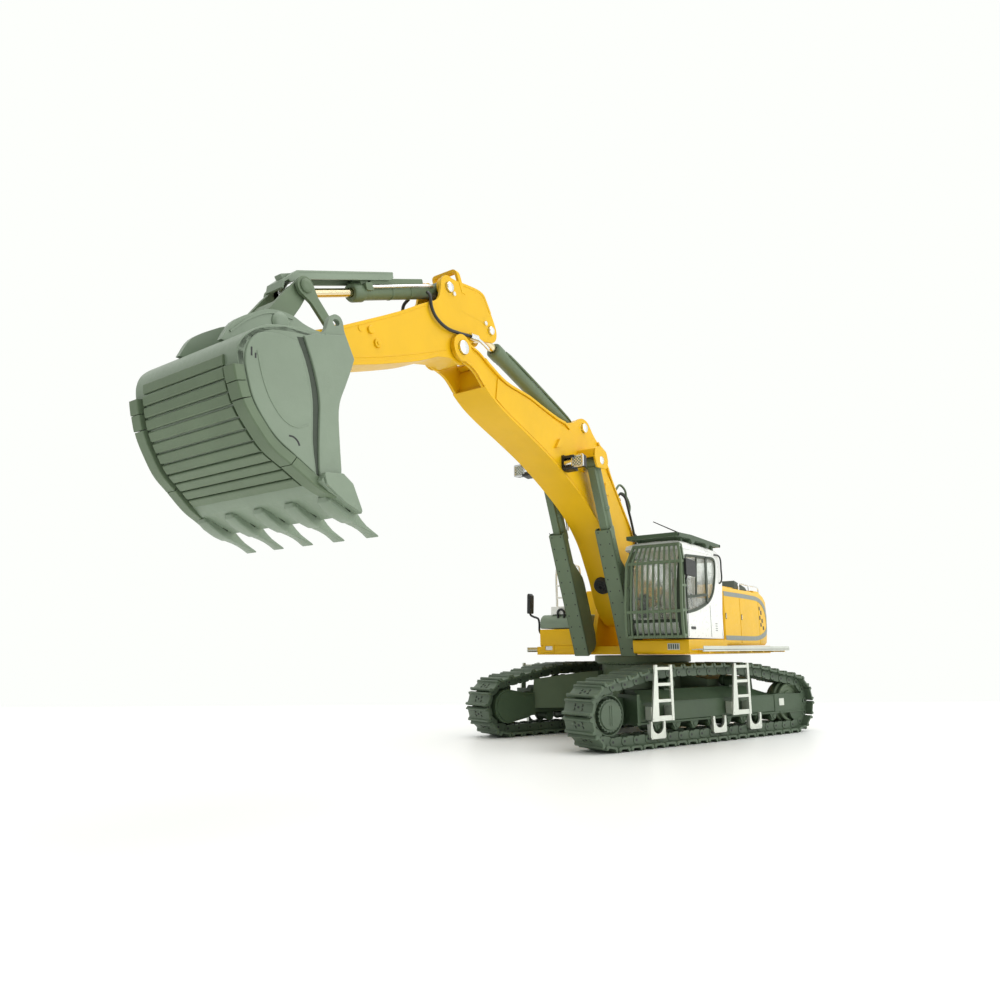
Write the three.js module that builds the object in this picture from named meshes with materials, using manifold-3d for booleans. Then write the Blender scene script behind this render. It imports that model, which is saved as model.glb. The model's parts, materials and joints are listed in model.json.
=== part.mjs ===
// 1:50 die-cast display model of a heavy crawler excavator, millimetres, +Z up.
// Upper structure, boom, stick and bucket lie along +X; the crawler chassis is turned under them.
// Every group sits on its own pivot; outlines are written in the upper-structure frame, slew axis at X = 0, Y = 0.
import * as THREE from "three";
import { mergeVertices } from "three/addons/utils/BufferGeometryUtils.js";
import Module from "manifold-3d";
const wasm = await Module();
wasm.setup();

// ---- driving dimensions ----
const SLEW_X = -66.303;           // slew axis from the part origin
const SLEW_Y = 0.007;
const CHASSIS_TURN = -17.93;     // chassis yaw under the upper structure, degrees
const TRACK_Y = 27.62;           // track centre line
const SHOE_W = 13.2;             // shoe width
const WHEELBASE = 48.8;          // sprocket and idler from the middle
const TRACK_R = 11.15;           // outer radius over the grousers
const SHOE_T = 1.7, RAIL_T = 2.7;
const RING_R = 18.2, RING_Z0 = 26.4, RING_Z1 = 29.3;
const DECK_Z0 = 29.7, DECK_Z1 = 32.7;
const HOUSE_Y = 31.6, HOUSE_TOP = 55.7;
const CYL_Y = 9.4;               // boom cylinders beside the boom
const BOOM_W = 6.1, STICK_W = 4.7;
const P_FOOT = [15, 44], P_TIP = [118.8, 115.2];
const P_CYL0 = [27.5, 33], P_CYL1 = [51.5, 95];
const P_HUMP = [50.6, 107.9], P_REAR = [103.8, 125.9], P_TOP = [123.3, 132.2];
const P_JOINT = [174.4, 111.3], P_LINK = [182.0, 99.3], P_BUCKET = [170.5, 97.9], P_ROCK = [162.9, 100.9];
const GAP = 0.3;

// ---- materials ----
const mat = (c, r, m) => new THREE.MeshStandardMaterial({ color: c, roughness: r, metalness: m });
const YELLOW = mat(0xf2bb32, 0.42, 0.05), GREY = mat(0x5c665c, 0.6, 0.1), DARK = mat(0x39403a, 0.65, 0.1);
const SILVER = mat(0xd9dbd6, 0.32, 0.9), CHROME = mat(0xe6e6e2, 0.12, 1), WHITE = mat(0xeeeee8, 0.4, 0.02);
const BLACK = mat(0x17191a, 0.55, 0.05), GLASS = mat(0xbfcac6, 0.08, 0.0), SEAT = mat(0x9c927c, 0.8, 0);

// ---- solid helpers ----
function solid(g) {
  g = g.clone(); g.deleteAttribute("normal"); g.deleteAttribute("uv");
  const m = mergeVertices(g, 1e-4);
  return new wasm.Manifold(new wasm.Mesh({ numProp: 3, vertProperties: new Float32Array(m.attributes.position.array), triVerts: new Uint32Array(m.index.array) }));
}
function geo(s) {
  const m = s.getMesh(), n = m.numProp, v = new Float32Array(m.numVert * 3);
  for (let i = 0; i < m.numVert; i++) v.set(m.vertProperties.subarray(i * n, i * n + 3), i * 3);
  return new THREE.BufferGeometry().setAttribute("position", new THREE.BufferAttribute(v, 3)).setIndex(new THREE.BufferAttribute(new Uint32Array(m.triVerts), 1));
}
const add = (...a) => geo(a.map(solid).reduce((p, q) => p.add(q)));
const cut = (a, ...b) => geo(b.map(solid).reduce((p, q) => p.subtract(q), solid(a)));
const common = (a, b) => geo(solid(a).intersect(solid(b)));
const shape = (p, holes = []) => {
  const s = new THREE.Shape(p.map((q) => new THREE.Vector2(q[0], q[1])));
  for (const h of holes) s.holes.push(new THREE.Path(h.map((q) => new THREE.Vector2(q[0], q[1]))));
  return s;
};
// outline in X-Z, from y0 to y1
const plate = (p, y0, y1, holes) => new THREE.ExtrudeGeometry(shape(p, holes), { depth: y1 - y0, bevelEnabled: false }).rotateX(Math.PI / 2).translate(0, y1, 0);
// outline in X-Y, from z0 to z1
const slab = (p, z0, z1, holes) => new THREE.ExtrudeGeometry(shape(p, holes), { depth: z1 - z0, bevelEnabled: false }).translate(0, 0, z0);
// outline in Y-Z, from x0 to x1
const wall = (p, x0, x1, holes) => new THREE.ExtrudeGeometry(shape(p, holes), { depth: x1 - x0, bevelEnabled: false }).rotateX(Math.PI / 2).rotateZ(Math.PI / 2).translate(x0, 0, 0);
const box = (x0, x1, y0, y1, z0, z1) => new THREE.BoxGeometry(x1 - x0, y1 - y0, z1 - z0).translate((x0 + x1) / 2, (y0 + y1) / 2, (z0 + z1) / 2);
const seg = (n) => Math.max(8, Math.round(n * 0.6)); // facets on round pieces
const barY = (c, r, y0, y1, n = 16) => new THREE.CylinderGeometry(r, r, y1 - y0, seg(n)).translate(c[0], (y0 + y1) / 2, c[1]);
const barZ = (x, y, r, z0, z1, n = 24) => new THREE.CylinderGeometry(r, r, z1 - z0, seg(n)).rotateX(Math.PI / 2).translate(x, y, (z0 + z1) / 2);
const flip = (g) => { // mirror across the X-Z plane
  g = g.index ? g.toNonIndexed() : g.clone();
  const p = g.attributes.position.array;
  for (let i = 0; i < p.length; i += 9) {
    for (let k = 1; k < 9; k += 3) p[i + k] = -p[i + k];
    for (let k = 0; k < 3; k++) { const t = p[i + 3 + k]; p[i + 3 + k] = p[i + 6 + k]; p[i + 6 + k] = t; }
  }
  return new THREE.BufferGeometry().setAttribute("position", new THREE.BufferAttribute(p, 3));
};
const circle = (c, r, n, a0 = 0, a1 = 2 * Math.PI, open = false) => Array.from({ length: n }, (_, i) => {
  const a = a0 + ((a1 - a0) * i) / (open ? n - 1 : n);
  return [c[0] + r * Math.cos(a), c[1] + r * Math.sin(a)];
});
// a point `along` from a towards b and `out` to the left of that line
const frameOf = (a, b) => {
  const l = Math.hypot(b[0] - a[0], b[1] - a[1]), u = [(b[0] - a[0]) / l, (b[1] - a[1]) / l], n = [-u[1], u[0]];
  return { l, at: (s, t = 0) => [a[0] + u[0] * s + n[0] * t, a[1] + u[1] * s + n[1] * t] };
};
// round bar in the plane y, from along s0 to s1 on the line a-b
const rodOn = (a, b, y, r, s0, s1, n = 16) => {
  const f = frameOf(a, b), p = f.at(s0), q = f.at(s1), g = new THREE.CylinderGeometry(r, r, s1 - s0, seg(n));
  const d = new THREE.Vector3(q[0] - p[0], 0, q[1] - p[1]).normalize();
  g.applyQuaternion(new THREE.Quaternion().setFromUnitVectors(new THREE.Vector3(0, 1, 0), d));
  return g.translate((p[0] + q[0]) / 2, y, (p[1] + q[1]) / 2);
};
const tube = (pts, r, n = 8, steps = null) => {
  const c = new THREE.CatmullRomCurve3(pts.map((p) => new THREE.Vector3(...p)), false, "centripetal");
  return new THREE.ExtrudeGeometry(shape(circle([0, 0], r, n)), { steps: steps || pts.length * 3, extrudePath: c, bevelEnabled: false });
};
const stick3 = (a, b, r, n = 8) => {
  const A = new THREE.Vector3(...a), B = new THREE.Vector3(...b), g = new THREE.CylinderGeometry(r, r, A.distanceTo(B), n);
  g.applyQuaternion(new THREE.Quaternion().setFromUnitVectors(new THREE.Vector3(0, 1, 0), B.clone().sub(A).normalize()));
  const m = A.clone().add(B).multiplyScalar(0.5);
  return g.translate(m.x, m.y, m.z);
};

// ---- scene graph: one group for each moving body, on its pivot ----
const machine = new THREE.Group();
machine.position.set(SLEW_X, SLEW_Y, 0);
const group = (parent, at) => {
  const g = new THREE.Group();
  g.userData.at = at;
  const pa = parent.userData.at || [0, 0, 0];
  g.position.set(at[0] - pa[0], at[1] - pa[1], at[2] - pa[2]);
  parent.add(g);
  return g;
};
const put = (grp, name, g, m) => {
  const at = grp.userData.at || [0, 0, 0];
  const k = g.index ? g : mergeVertices(g, 1e-5);
  const mesh = new THREE.Mesh(k.clone().translate(-at[0], -at[1], -at[2]), m);
  mesh.name = name;
  grp.add(mesh);
  return mesh;
};

// ================= chassis =================
const chassis = group(machine, [0, 0, 0]);
chassis.rotation.z = (CHASSIS_TURN * Math.PI) / 180;
const ZC = TRACK_R, RB = TRACK_R - SHOE_T; // base line: inner face of the shoe plates
const key = [];
for (let x = -40; x <= 40; x += 16) key.push([x, ZC - RB]);
for (let a = -90; a <= 80; a += 17) key.push([WHEELBASE + RB * Math.cos((a * Math.PI) / 180), ZC + RB * Math.sin((a * Math.PI) / 180)]);
for (const q of [[42, 21.7], [34, 23.3], [25, 24.7], [14, 25.1], [0, 25.1], [-14, 25.1], [-25, 24.5], [-34, 23.1], [-42, 21.6]]) key.push(q);
for (let a = 100; a <= 270; a += 17) key.push([-WHEELBASE + RB * Math.cos((a * Math.PI) / 180), ZC + RB * Math.sin((a * Math.PI) / 180)]);
const loop = new THREE.CatmullRomCurve3(key.map((q) => new THREE.Vector3(q[0], 0, q[1])), true, "centripetal");
loop.arcLengthDivisions = 1200;
const ring = (n, off) => Array.from({ length: n }, (_, i) => {
  const u = i / n, p = loop.getPointAt(u), t = loop.getTangentAt(u), o = typeof off === "function" ? off(i) : off;
  return [p.x + t.z * o, Math.max(0, p.z - t.x * o)];
});
const PADS = 24; // simplified pads, each two shoes long, flat on the ground
const shoeBelt = (y0, y1) => plate(ring(PADS * 3, (i) => (i % 3 ? SHOE_T : 1.0)), y0, y1, [ring(44, 0).reverse()]);
const railBelt = (y0, y1) => plate(ring(44, 0.25), y0, y1, [ring(44, -RAIL_T).reverse()]);
const ty = (dy) => TRACK_Y + dy;
const trackChain = add(shoeBelt(ty(-SHOE_W / 2), ty(SHOE_W / 2)), railBelt(ty(-4.2), ty(-1.8)), railBelt(ty(1.8), ty(4.2)));
put(chassis, "track_chain_left", trackChain, DARK);
put(chassis, "track_chain_right", flip(trackChain), DARK);

const lower = [[36.8, 8.0], [36.8, 14.4], [-39.4, 14.4], [-39.4, 14.6], [-54.4, 14.2], [-54.6, 9.5], [-54.0, 7.6]];
const upper = [[34.5, 14.2], [34.5, 17.2], [30, 18.4], [-22, 18.4], [-39, 14.2]];
const rollers = [-36, -27, -18, -9, 0, 9, 18, 27].map((x) => barY([x, 6.65], 1.95, ty(-3.7), ty(3.7), 12));
const carriers = [19, -16].map((x) => barY([x, 19.6], 1.9, ty(-3.4), ty(3.4), 12));
const sideFrame = cut(
  add(
    plate(lower, 23.5, 31.7), plate(upper, 23.5, 28.6),
    box(34.6, 40.4, 23.3, 26.0, 7.2, 16.0),                       // arm to the final drive
    barY([WHEELBASE, ZC], 5.9, 21.6, 26.0, 24),                    // final drive housing, inner side
    box(36, 48.8, 21.8, 25.9, 7.0, 15.3),
    ...rollers, ...carriers,
  ),
  barY([-WHEELBASE, ZC], 8.6, ty(-5), ty(3.3), 28),                // idler space
  box(-60, -WHEELBASE, ty(-5), ty(3.3), 2.6, 19.7),
);
put(chassis, "side_frame_left", sideFrame, GREY);
put(chassis, "side_frame_right", flip(sideFrame), GREY);

const tooth = [];
for (let i = 0; i < 12; i++) for (const [d, r] of [[-0.36, 6.9], [-0.16, 8.2], [0.16, 8.2], [0.36, 6.9]]) {
  const a = ((i + d) * Math.PI) / 6;
  tooth.push([WHEELBASE + r * Math.cos(a), ZC + r * Math.sin(a)]);
}
const sprocket = add(
  plate(tooth, ty(-1.25), ty(1.25)), barY([WHEELBASE, ZC], 6.25, ty(1.2), ty(3.9), 32),
  barY([WHEELBASE, ZC], 4.9, ty(3.8), ty(4.9), 24),
);
for (const [side, k] of [["left", 1], ["right", -1]]) {
  const g = group(chassis, [WHEELBASE, k * TRACK_Y, ZC]);
  put(g, "sprocket_" + side, k > 0 ? sprocket : flip(sprocket), GREY);
}
const idler = add(
  barY([-WHEELBASE, ZC], 8.2, ty(-1.25), ty(1.25), 28), barY([-WHEELBASE, ZC], 6.3, ty(-3.4), ty(2.9), 28),
);
for (const [side, k] of [["left", 1], ["right", -1]]) {
  const g = group(chassis, [-WHEELBASE, k * TRACK_Y, ZC]);
  put(g, "idler_" + side, k > 0 ? idler : flip(idler), GREY);
}

// three bright chain guides under each side frame, on one thin strip
const guide = (x) => wallGuide(x);
function wallGuide(x) {
  return cut(box(x - 3.6, x + 3.6, 32.0, 32.9, 2.9, 8.4), barY([x, 7.6], 2.6, 31.5, 33.5, 12));
}
const guides = add(box(-28, 32, 32.0, 32.7, 8.1, 8.7), ...[28.2, -3.2, -23.5].map(guide));
put(chassis, "chain_guides_left", guides, SILVER);
put(chassis, "chain_guides_right", flip(guides), SILVER);

// boarding ladders
const ladderAt = (x0, x1) => {
  const xm = (x0 + x1) / 2, hb = (x1 - x0) / 2, ht = hb * 0.86, z0 = 8.6, z1 = 26.1;
  const hw = (z) => hb + ((ht - hb) * (z - z0)) / (z1 - z0);
  const hole = (za, zb) => [[xm - hw(za) + 2.2, za], [xm + hw(za) - 1.3, za], [xm + hw(zb) - 1.3, zb], [xm - hw(zb) + 1.6, zb]];
  return add(
    plate([[xm - hb, z0], [xm + hb, z0], [xm + ht, z1], [xm - ht, z1]], 34.7, 35.6, [hole(10.1, 14.2), hole(15.4, 19.6), hole(20.8, 24.9)].map((h) => h.reverse())),
    box(xm - hb + 0.2, xm - hb + 1.6, 32.0, 34.9, 9.0, 13.4), box(xm + hb - 1.6, xm + hb - 0.2, 32.0, 34.9, 9.0, 13.4),
  );
};
for (const [n, a, b] of [["front", 22.7, 33.6], ["rear", -18.3, -7.3]]) {
  put(chassis, "ladder_left_" + n, ladderAt(a, b), SILVER);
  put(chassis, "ladder_right_" + n, flip(ladderAt(a, b)), SILVER);
}

// centre frame with four legs between the side frames
const leg = (sx, sy) => slab(sx * sy > 0
  ? [[sx * 4, sy * 6], [sx * 15, sy * 6], [sx * 27, sy * 23.2], [sx * 13, sy * 23.2]]
  : [[sx * 13, sy * 23.2], [sx * 27, sy * 23.2], [sx * 15, sy * 6], [sx * 4, sy * 6]], 9.5, 18.2);
put(chassis, "track_frame_center", add(
  barZ(0, 0, 15.7, 12, 26.1, 40), barZ(0, 0, 12, 9, 12.2, 32),
  leg(1, 1), leg(1, -1), leg(-1, 1), leg(-1, -1),
), GREY);
put(chassis, "slew_ring", barZ(0, 0, RING_R, RING_Z0, RING_Z1, 48), DARK);

// ================= upper structure =================
const top = group(machine, [0, 0, 0]);
// deck with boom brackets and cylinder lugs
const deckPlan = [[-58.5, -31.2], [26.6, -31.2], [26.6, -13], [22.5, -13], [22.5, 13], [33.2, 14.2], [33.2, 31.6], [-58.5, 31.6]];
const bracket = [[1, 32.5], [24, 32.5], [24, 36.5], [20.6, 46], [17.6, 48.6], [12.4, 48.6], [9, 45.6], [3.5, 37]];
const lug = [[18, 30.4], [28.0, 30.4], [29.6, 31.2], [30.3, 33], [29.5, 35.0], [27.5, 35.8], [25.2, 35.1], [22, 33.4], [18, 33.2]];
const deck = cut(
  add(slab(deckPlan, DECK_Z0, DECK_Z1), plate(bracket, 6.9, 8.6), plate(bracket, -8.6, -6.9), plate(lug, 8.5, 10.2), plate(lug, -10.2, -8.5),
    box(-2, 3, -8.6, 8.6, 32.5, 38)),
  barY(P_FOOT, 2.3, -10, 10, 16), barY(P_CYL0, 1.4, -12, 12, 14),
);
put(top, "main_deck", deck, YELLOW);
put(top, "boom_foot_pin", barY(P_FOOT, 1.95, -9.4, 9.4, 16), SILVER);

// engine house and counterweight
const roofL = [[-31.3, 33.0], [-31.6, 35], [-31.6, 52.6], [-30.6, 54.9], [-28.6, HOUSE_TOP], [28.6, HOUSE_TOP], [30.6, 54.9], [31.6, 52.6], [31.6, 35], [31.3, 33.0]];
put(top, "engine_house", cut(wall(roofL, -45.6, -5.2), box(-46, -5, -12.2, 12.2, 54.6, 57)), YELLOW);
const cwPlan = [[-46, -31.6], [-46, 31.6], [-55.6, 31.5], [-58.6, 30.6], [-60.9, 28.6], [-63.8, 22], [-65.8, 12], [-66.4, 0], [-65.8, -12], [-63.8, -22], [-60.9, -28.6], [-58.6, -30.6], [-55.6, -31.5]];
const cwSide = [[-46, 33.0], [-62.4, 33.0], [-65.6, 37], [-66.8, 43.6], [-66.2, 51], [-63.4, 54.4], [-58.5, HOUSE_TOP], [-46, HOUSE_TOP]];
put(top, "counterweight", common(slab(cwPlan.slice().reverse(), 33.0, 56), plate(cwSide, -32, 32)), YELLOW);
put(top, "engine_hood", add(
  wall([[-11.8, 54.9], [-11.8, 57.2], [-9.5, 59.6], [9.5, 59.6], [11.8, 57.2], [11.8, 54.9]], -44, -18),
  wall([[-9, 54.9], [-9, 58.8], [9, 58.8], [9, 54.9]], -18.1, -8),
), DARK);

// right-hand tank box with its rounded grey cover
put(top, "right_tank_box", box(-4.6, 26.8, -29.2, -12.8, 33.0, 39.2), YELLOW);
put(top, "right_box_cover", plate([[27.0, 39.5], [26.8, 42.2], [24.6, 44.3], [20, 44.9], [-4.6, 44.9], [-4.6, 39.5]], -29.2, -12.8), GREY);
put(top, "step_box", box(17.2, 26.0, -25.6, -13.6, 45.2, 47.9), SILVER);

// cab
const cabSide = [[33.4, 35.0], [1.6, 35.0], [3.4, 49], [5.4, 60], [3.2, 66.4], [39.2, 66.4], [38.2, 55], [35.2, 42]];
const cabOuter = plate(cabSide, 13.9, 33.8);
const cabInner = plate([[32.6, 36.4], [4.6, 36.4], [6.2, 49], [7.8, 60], [6.4, 64.8], [37.6, 64.8], [36.6, 55], [33.8, 42.6]], 14.9, 32.8);
const sideWindow = [[31.2, 50.2], [16.0, 50.2], [16.0, 63.6], [36.0, 63.6], [35.2, 55], [33.6, 50.2]];
const doorWindow = [[14.0, 47], [8.2, 54], [9.4, 63.6], [14.0, 63.6]];
const lowWindow = [[31.2, 43.6], [31.4, 49], [16, 49], [16, 43.6]];
put(top, "cab_shell", cut(cabOuter, cabInner,
  plate(sideWindow, 32, 35), plate(doorWindow, 32, 35), plate(lowWindow, 32, 35), plate(sideWindow, 12, 15.5),
  box(33.4, 42, 15.6, 32.2, 43.2, 63.8), box(0, 8, 16.5, 31, 50, 63),
), WHITE);
// one clear moulded glazing insert: front pane and both side panes
const gOut = [[32.2, 36.8], [7.0, 36.8], [8.6, 49], [9.6, 60], [9.2, 64.5], [37.2, 64.5], [36.2, 55], [33.4, 42.8]];
const gIn = [[31.5, 36.2], [6.0, 36.2], [7.6, 49], [8.6, 60], [8.2, 65.4], [36.6, 65.4], [35.6, 55], [32.7, 42.9]];
put(top, "cab_glazing", cut(plate(gOut, 15.2, 32.5), plate(gIn, 15.9, 31.8), box(0, 12, 14, 34, 36, 66)), GLASS);
put(top, "operator_seat", add(
  box(13.4, 20.4, 20, 27.4, 36.7, 41), box(12.4, 21.6, 19.4, 28, 41, 43.8), plate([[12.2, 43.4], [14.8, 43.4], [13.6, 56], [11.2, 56]], 19.6, 27.8),
  box(12.5, 19.5, 17.2, 18.9, 44, 46.2), box(12.5, 19.5, 28.5, 30.2, 44, 46.2), box(14, 16, 17.5, 30, 42.2, 43.4), box(14, 16, 17.5, 18.6, 42.4, 44.4), box(14, 16, 28.8, 30, 42.4, 44.4),
), SEAT);
// front guard grille and roof guard
const bars = [];
for (let i = 0; i < 10; i++) { const y = 15.2 + 1.95 * i; bars.push(box(41.3, 42.1, y, y + 0.75, 35.2, 65.4)); }
put(top, "cab_front_guard", add(...bars, ...[35.0, 43.4, 59.4, 65.0].map((z) => box(40.4, 41.5, 14.6, 33.9, z, z + 1.2)),
  box(38.9, 41.0, 14.6, 15.5, 35.1, 36.1), box(38.9, 41.0, 33.0, 33.9, 35.1, 36.1)), DARK);
const slats = [];
for (let i = 0; i < 8; i++) slats.push(box(5.4 + 4.2 * i, 6.9 + 4.2 * i, 17.4, 32.9, 68.2, 69.2));
put(top, "cab_roof_guard", add(cut(box(2.7, 41.2, 16.0, 34.3, 67.6, 69.9), box(4.3, 39.6, 17.6, 32.7, 67, 71)), ...slats,
  box(4, 5.6, 17, 18.2, 66.7, 68), box(36, 37.6, 17, 18.2, 66.7, 68), box(4, 5.6, 32, 33.2, 66.7, 68), box(36, 37.6, 32, 33.2, 66.7, 68)), DARK);
put(top, "antenna", stick3([1.0, 29, 70.2], [-12.5, 24.6, 76.4], 0.35, 6), BLACK);

// catwalks
const walk = add(box(-66, 1.2, 32.1, 39.2, 30.7, 32.4), box(1, 36, 34.6, 39.2, 30.7, 32.4));
put(top, "catwalk_left", walk, SILVER);
put(top, "catwalk_right", flip(add(box(-62, 26, 31.7, 36.6, 30.7, 32.4))), SILVER);

// handrail ladder on the right and the mirror on its arm
const rail = add(
  stick3([22, -24.6, 48.2], [22, -24.6, 63.0], 0.5), stick3([22, -14.4, 48.2], [22, -14.4, 63.0], 0.5),
  stick3([22, -24.9, 62.8], [22, -14.1, 62.8], 0.5), stick3([22, -24.6, 55.9], [22, -14.4, 55.9], 0.42), stick3([22, -24.6, 51.4], [22, -14.4, 51.4], 0.42),
);
put(top, "handrail_right", rail, WHITE);
put(top, "mirror_right", add(tube([[24, -29.8, 37.4], [25, -31.6, 38.2], [25.8, -33.0, 41], [26, -33.2, 46], [26, -33.2, 50]], 0.4, 8, 10), box(25.4, 26.6, -34.7, -31.7, 46.2, 53.6)), BLACK);

// ================= boom =================
const boomG = group(top, [P_FOOT[0], 0, P_FOOT[1]]);
const boomSide = [
  [122.4, 115.2], [121.4, 118], [118.8, 119.0], [114.9, 117.6], [110.6, 116.8], [105.4, 114.4], [97.7, 111.4], [85.2, 110.2], [76.3, 108.5], [66, 107.0], [61.6, 107.1],
  [55.4, 108.9], [53.6, 110.7], [50.6, 111.4], [47.4, 110.6], [44.0, 107.3], [39.9, 104.2], [35.5, 99.0], [31.2, 92.6], [24.6, 84.6], [15.6, 73.6], [9.6, 62], [9.4, 51], [10.9, 43.2], [12.4, 40.9],
  [15, 39.9], [18.2, 40.6], [22.2, 43.6], [26.2, 49], [29.3, 56], [33, 62.4], [36.4, 68], [42, 74.2], [49.5, 79.9], [61, 86.3], [72.6, 91.8], [85.4, 96.6], [97.8, 100.9], [104, 103.4], [108.7, 106.4], [113.4, 110.2], [119, 111.5], [121.6, 112.8],
].reverse();
let boomGeo = plate(boomSide, -BOOM_W, BOOM_W);
boomGeo = cut(boomGeo,
  box(107.2, 130, -5.0, 5.0, 100, 125),                                  // fork around the stick
  box(46.4, 75, -2.75, 2.75, 103.9, 115), box(40, 47, -2.75, 2.75, 106.5, 115), // slot for the stick cylinder
  barY(P_TIP, 2.35, -8, 8, 16), barY(P_HUMP, 1.95, -8, 8, 16), barY(P_FOOT, 2.3, -8, 8, 16), barY(P_CYL1, 1.9, -8, 8, 16));
const bossCap = [[P_CYL1[0] - 3.6, P_CYL1[1] - 2.4], [P_CYL1[0] + 3.4, P_CYL1[1] - 3.0], [P_CYL1[0] + 5.0, P_CYL1[1] + 0.6], [P_CYL1[0] + 4.4, P_CYL1[1] + 3.6], [P_CYL1[0] + 0.6, P_CYL1[1] + 5.0], [P_CYL1[0] - 3.4, P_CYL1[1] + 3.4], [P_CYL1[0] - 4.4, P_CYL1[1] + 0.4]].reverse();
const bossRoof = [[P_CYL1[0] + 4.2, P_CYL1[1] + 0.6], [P_CYL1[0] + 5.0, P_CYL1[1] + 0.6], [P_CYL1[0] + 4.4, P_CYL1[1] + 3.6], [P_CYL1[0] + 0.6, P_CYL1[1] + 5.0], [P_CYL1[0] - 3.4, P_CYL1[1] + 3.6], [P_CYL1[0] - 2.8, P_CYL1[1] + 3.0], [P_CYL1[0] + 0.5, P_CYL1[1] + 4.1], [P_CYL1[0] + 3.7, P_CYL1[1] + 3.0]].reverse();
for (const k of [1, -1]) for (const [o, y0, y1] of [[bossCap, 12.2, 12.9], [bossRoof, 5.9, 12.4]]) boomGeo = add(boomGeo, plate(o, Math.min(k * y0, k * y1), Math.max(k * y0, k * y1)));
put(boomG, "boom", boomGeo, YELLOW);
put(boomG, "boom_tip_pin", barY(P_TIP, 2.0, -7.0, 7.0, 16), SILVER);
put(boomG, "stick_cylinder_pin", barY(P_HUMP, 1.6, -7.0, 7.0, 16), SILVER);
put(boomG, "boom_cylinder_pin", barY(P_CYL1, 1.55, -6.7, 6.7, 16), SILVER);
// work lights on small arms on both sides of the boom
for (const [side, k] of [["left", 1], ["right", -1]]) {
  const l = add(box(63.4, 66.0, 6.4, 9.2, 89.9, 94.6), box(63.4, 66.2, 9.1, 13.7, 90.2, 94.2));
  put(boomG, "work_light_" + side, k > 0 ? l : flip(l), SILVER);
}
// twin supply pipes along the back of the boom
const hose = (y) => tube([[4.6, y, 50], [4.2, y, 58], [7.2, y, 66.5], [13.6, y, 76.2], [22.4, y, 86.6], [29.6, y, 94.6], [33.6, y, 100.6], [36.6, y, 103.9]], 1.0, 6, 9);
put(boomG, "boom_hoses", add(hose(-2.6), hose(2.6), box(6.4, 9.0, -3.8, 3.8, 66.2, 69.0), box(22.0, 24.0, -3.8, 3.8, 86.6, 88.9)), BLACK);

// ================= boom cylinders =================
for (const [side, k] of [["left", 1], ["right", -1]]) {
  const f = frameOf(P_CYL0, P_CYL1), m = (g) => (k > 0 ? g : flip(g));
  const rodG = group(top, [P_CYL0[0], k * CYL_Y, P_CYL0[1]]);
  const yoke = [f.at(-2.2, -1.6), f.at(-2.2, 1.6), f.at(0, 2.2), f.at(6.4, 2.0), f.at(6.4, -2.0), f.at(0, -2.2)];
  const rod = add(plate(yoke, 7.4, 8.2), plate(yoke, 10.5, 11.3), barY(P_CYL0, 1.1, 7.5, 11.2, 12),
    plate([f.at(4.2, 2.0), f.at(6.4, 2.0), f.at(6.4, -2.0), f.at(4.2, -2.0)], 7.5, 11.2), rodOn(P_CYL0, P_CYL1, CYL_Y, 1.25, 6, 47, 16));
  put(rodG, "boom_cylinder_rod_" + side, m(rod), CHROME);
  const outer = [f.at(-2.0, 0.6), f.at(-2.6, -3.9), f.at(44.4, -3.9), f.at(46.6, -2.2), f.at(46.2, -0.4), f.at(31.5, -0.3), f.at(25, 3.9), f.at(2, 3.7)];
  const inner = [f.at(-6, 9), f.at(-6, -3.3), f.at(50, -3.3), f.at(50, 9)];
  put(rodG, "rod_guard_" + side, m(cut(plate(outer, 6.45, 12.4), plate(inner, 6.95, 11.9))), GREY);
  const barG = group(rodG, [P_CYL0[0], k * CYL_Y, P_CYL0[1]]);
  const barrel = cut(add(
    rodOn(P_CYL0, P_CYL1, CYL_Y, 2.1, 40.4, f.l - 0.4, 20), rodOn(P_CYL0, P_CYL1, CYL_Y, 2.3, 51, 52.4, 20), barY(P_CYL1, 2.7, 7.0, 11.8, 20),
  ), rodOn(P_CYL0, P_CYL1, CYL_Y, 1.6, 38, 62, 16));
  put(barG, "boom_cylinder_barrel_" + side, m(barrel), GREY);
}

// ================= stick cylinder =================
const sc = frameOf(P_HUMP, P_REAR);
const scB = group(boomG, [P_HUMP[0], 0, P_HUMP[1]]);
put(scB, "stick_cylinder_barrel", cut(add(
  rodOn(P_HUMP, P_REAR, 0, 2.15, 1, 48.2, 20), rodOn(P_HUMP, P_REAR, 0, 2.5, 45.4, 48.4, 20), barY(P_HUMP, 2.7, -2.4, 2.4, 20),
), barY(P_HUMP, 1.95, -4, 4, 16), rodOn(P_HUMP, P_REAR, 0, 1.65, 12, 60, 16)), GREY);
const scR = group(scB, [P_HUMP[0], 0, P_HUMP[1]]);
put(scR, "stick_cylinder_rod", add(rodOn(P_HUMP, P_REAR, 0, 1.3, 16, sc.l - 1.5, 16), barY(P_REAR, 2.3, -2.1, 2.1, 18)), CHROME);

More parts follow.
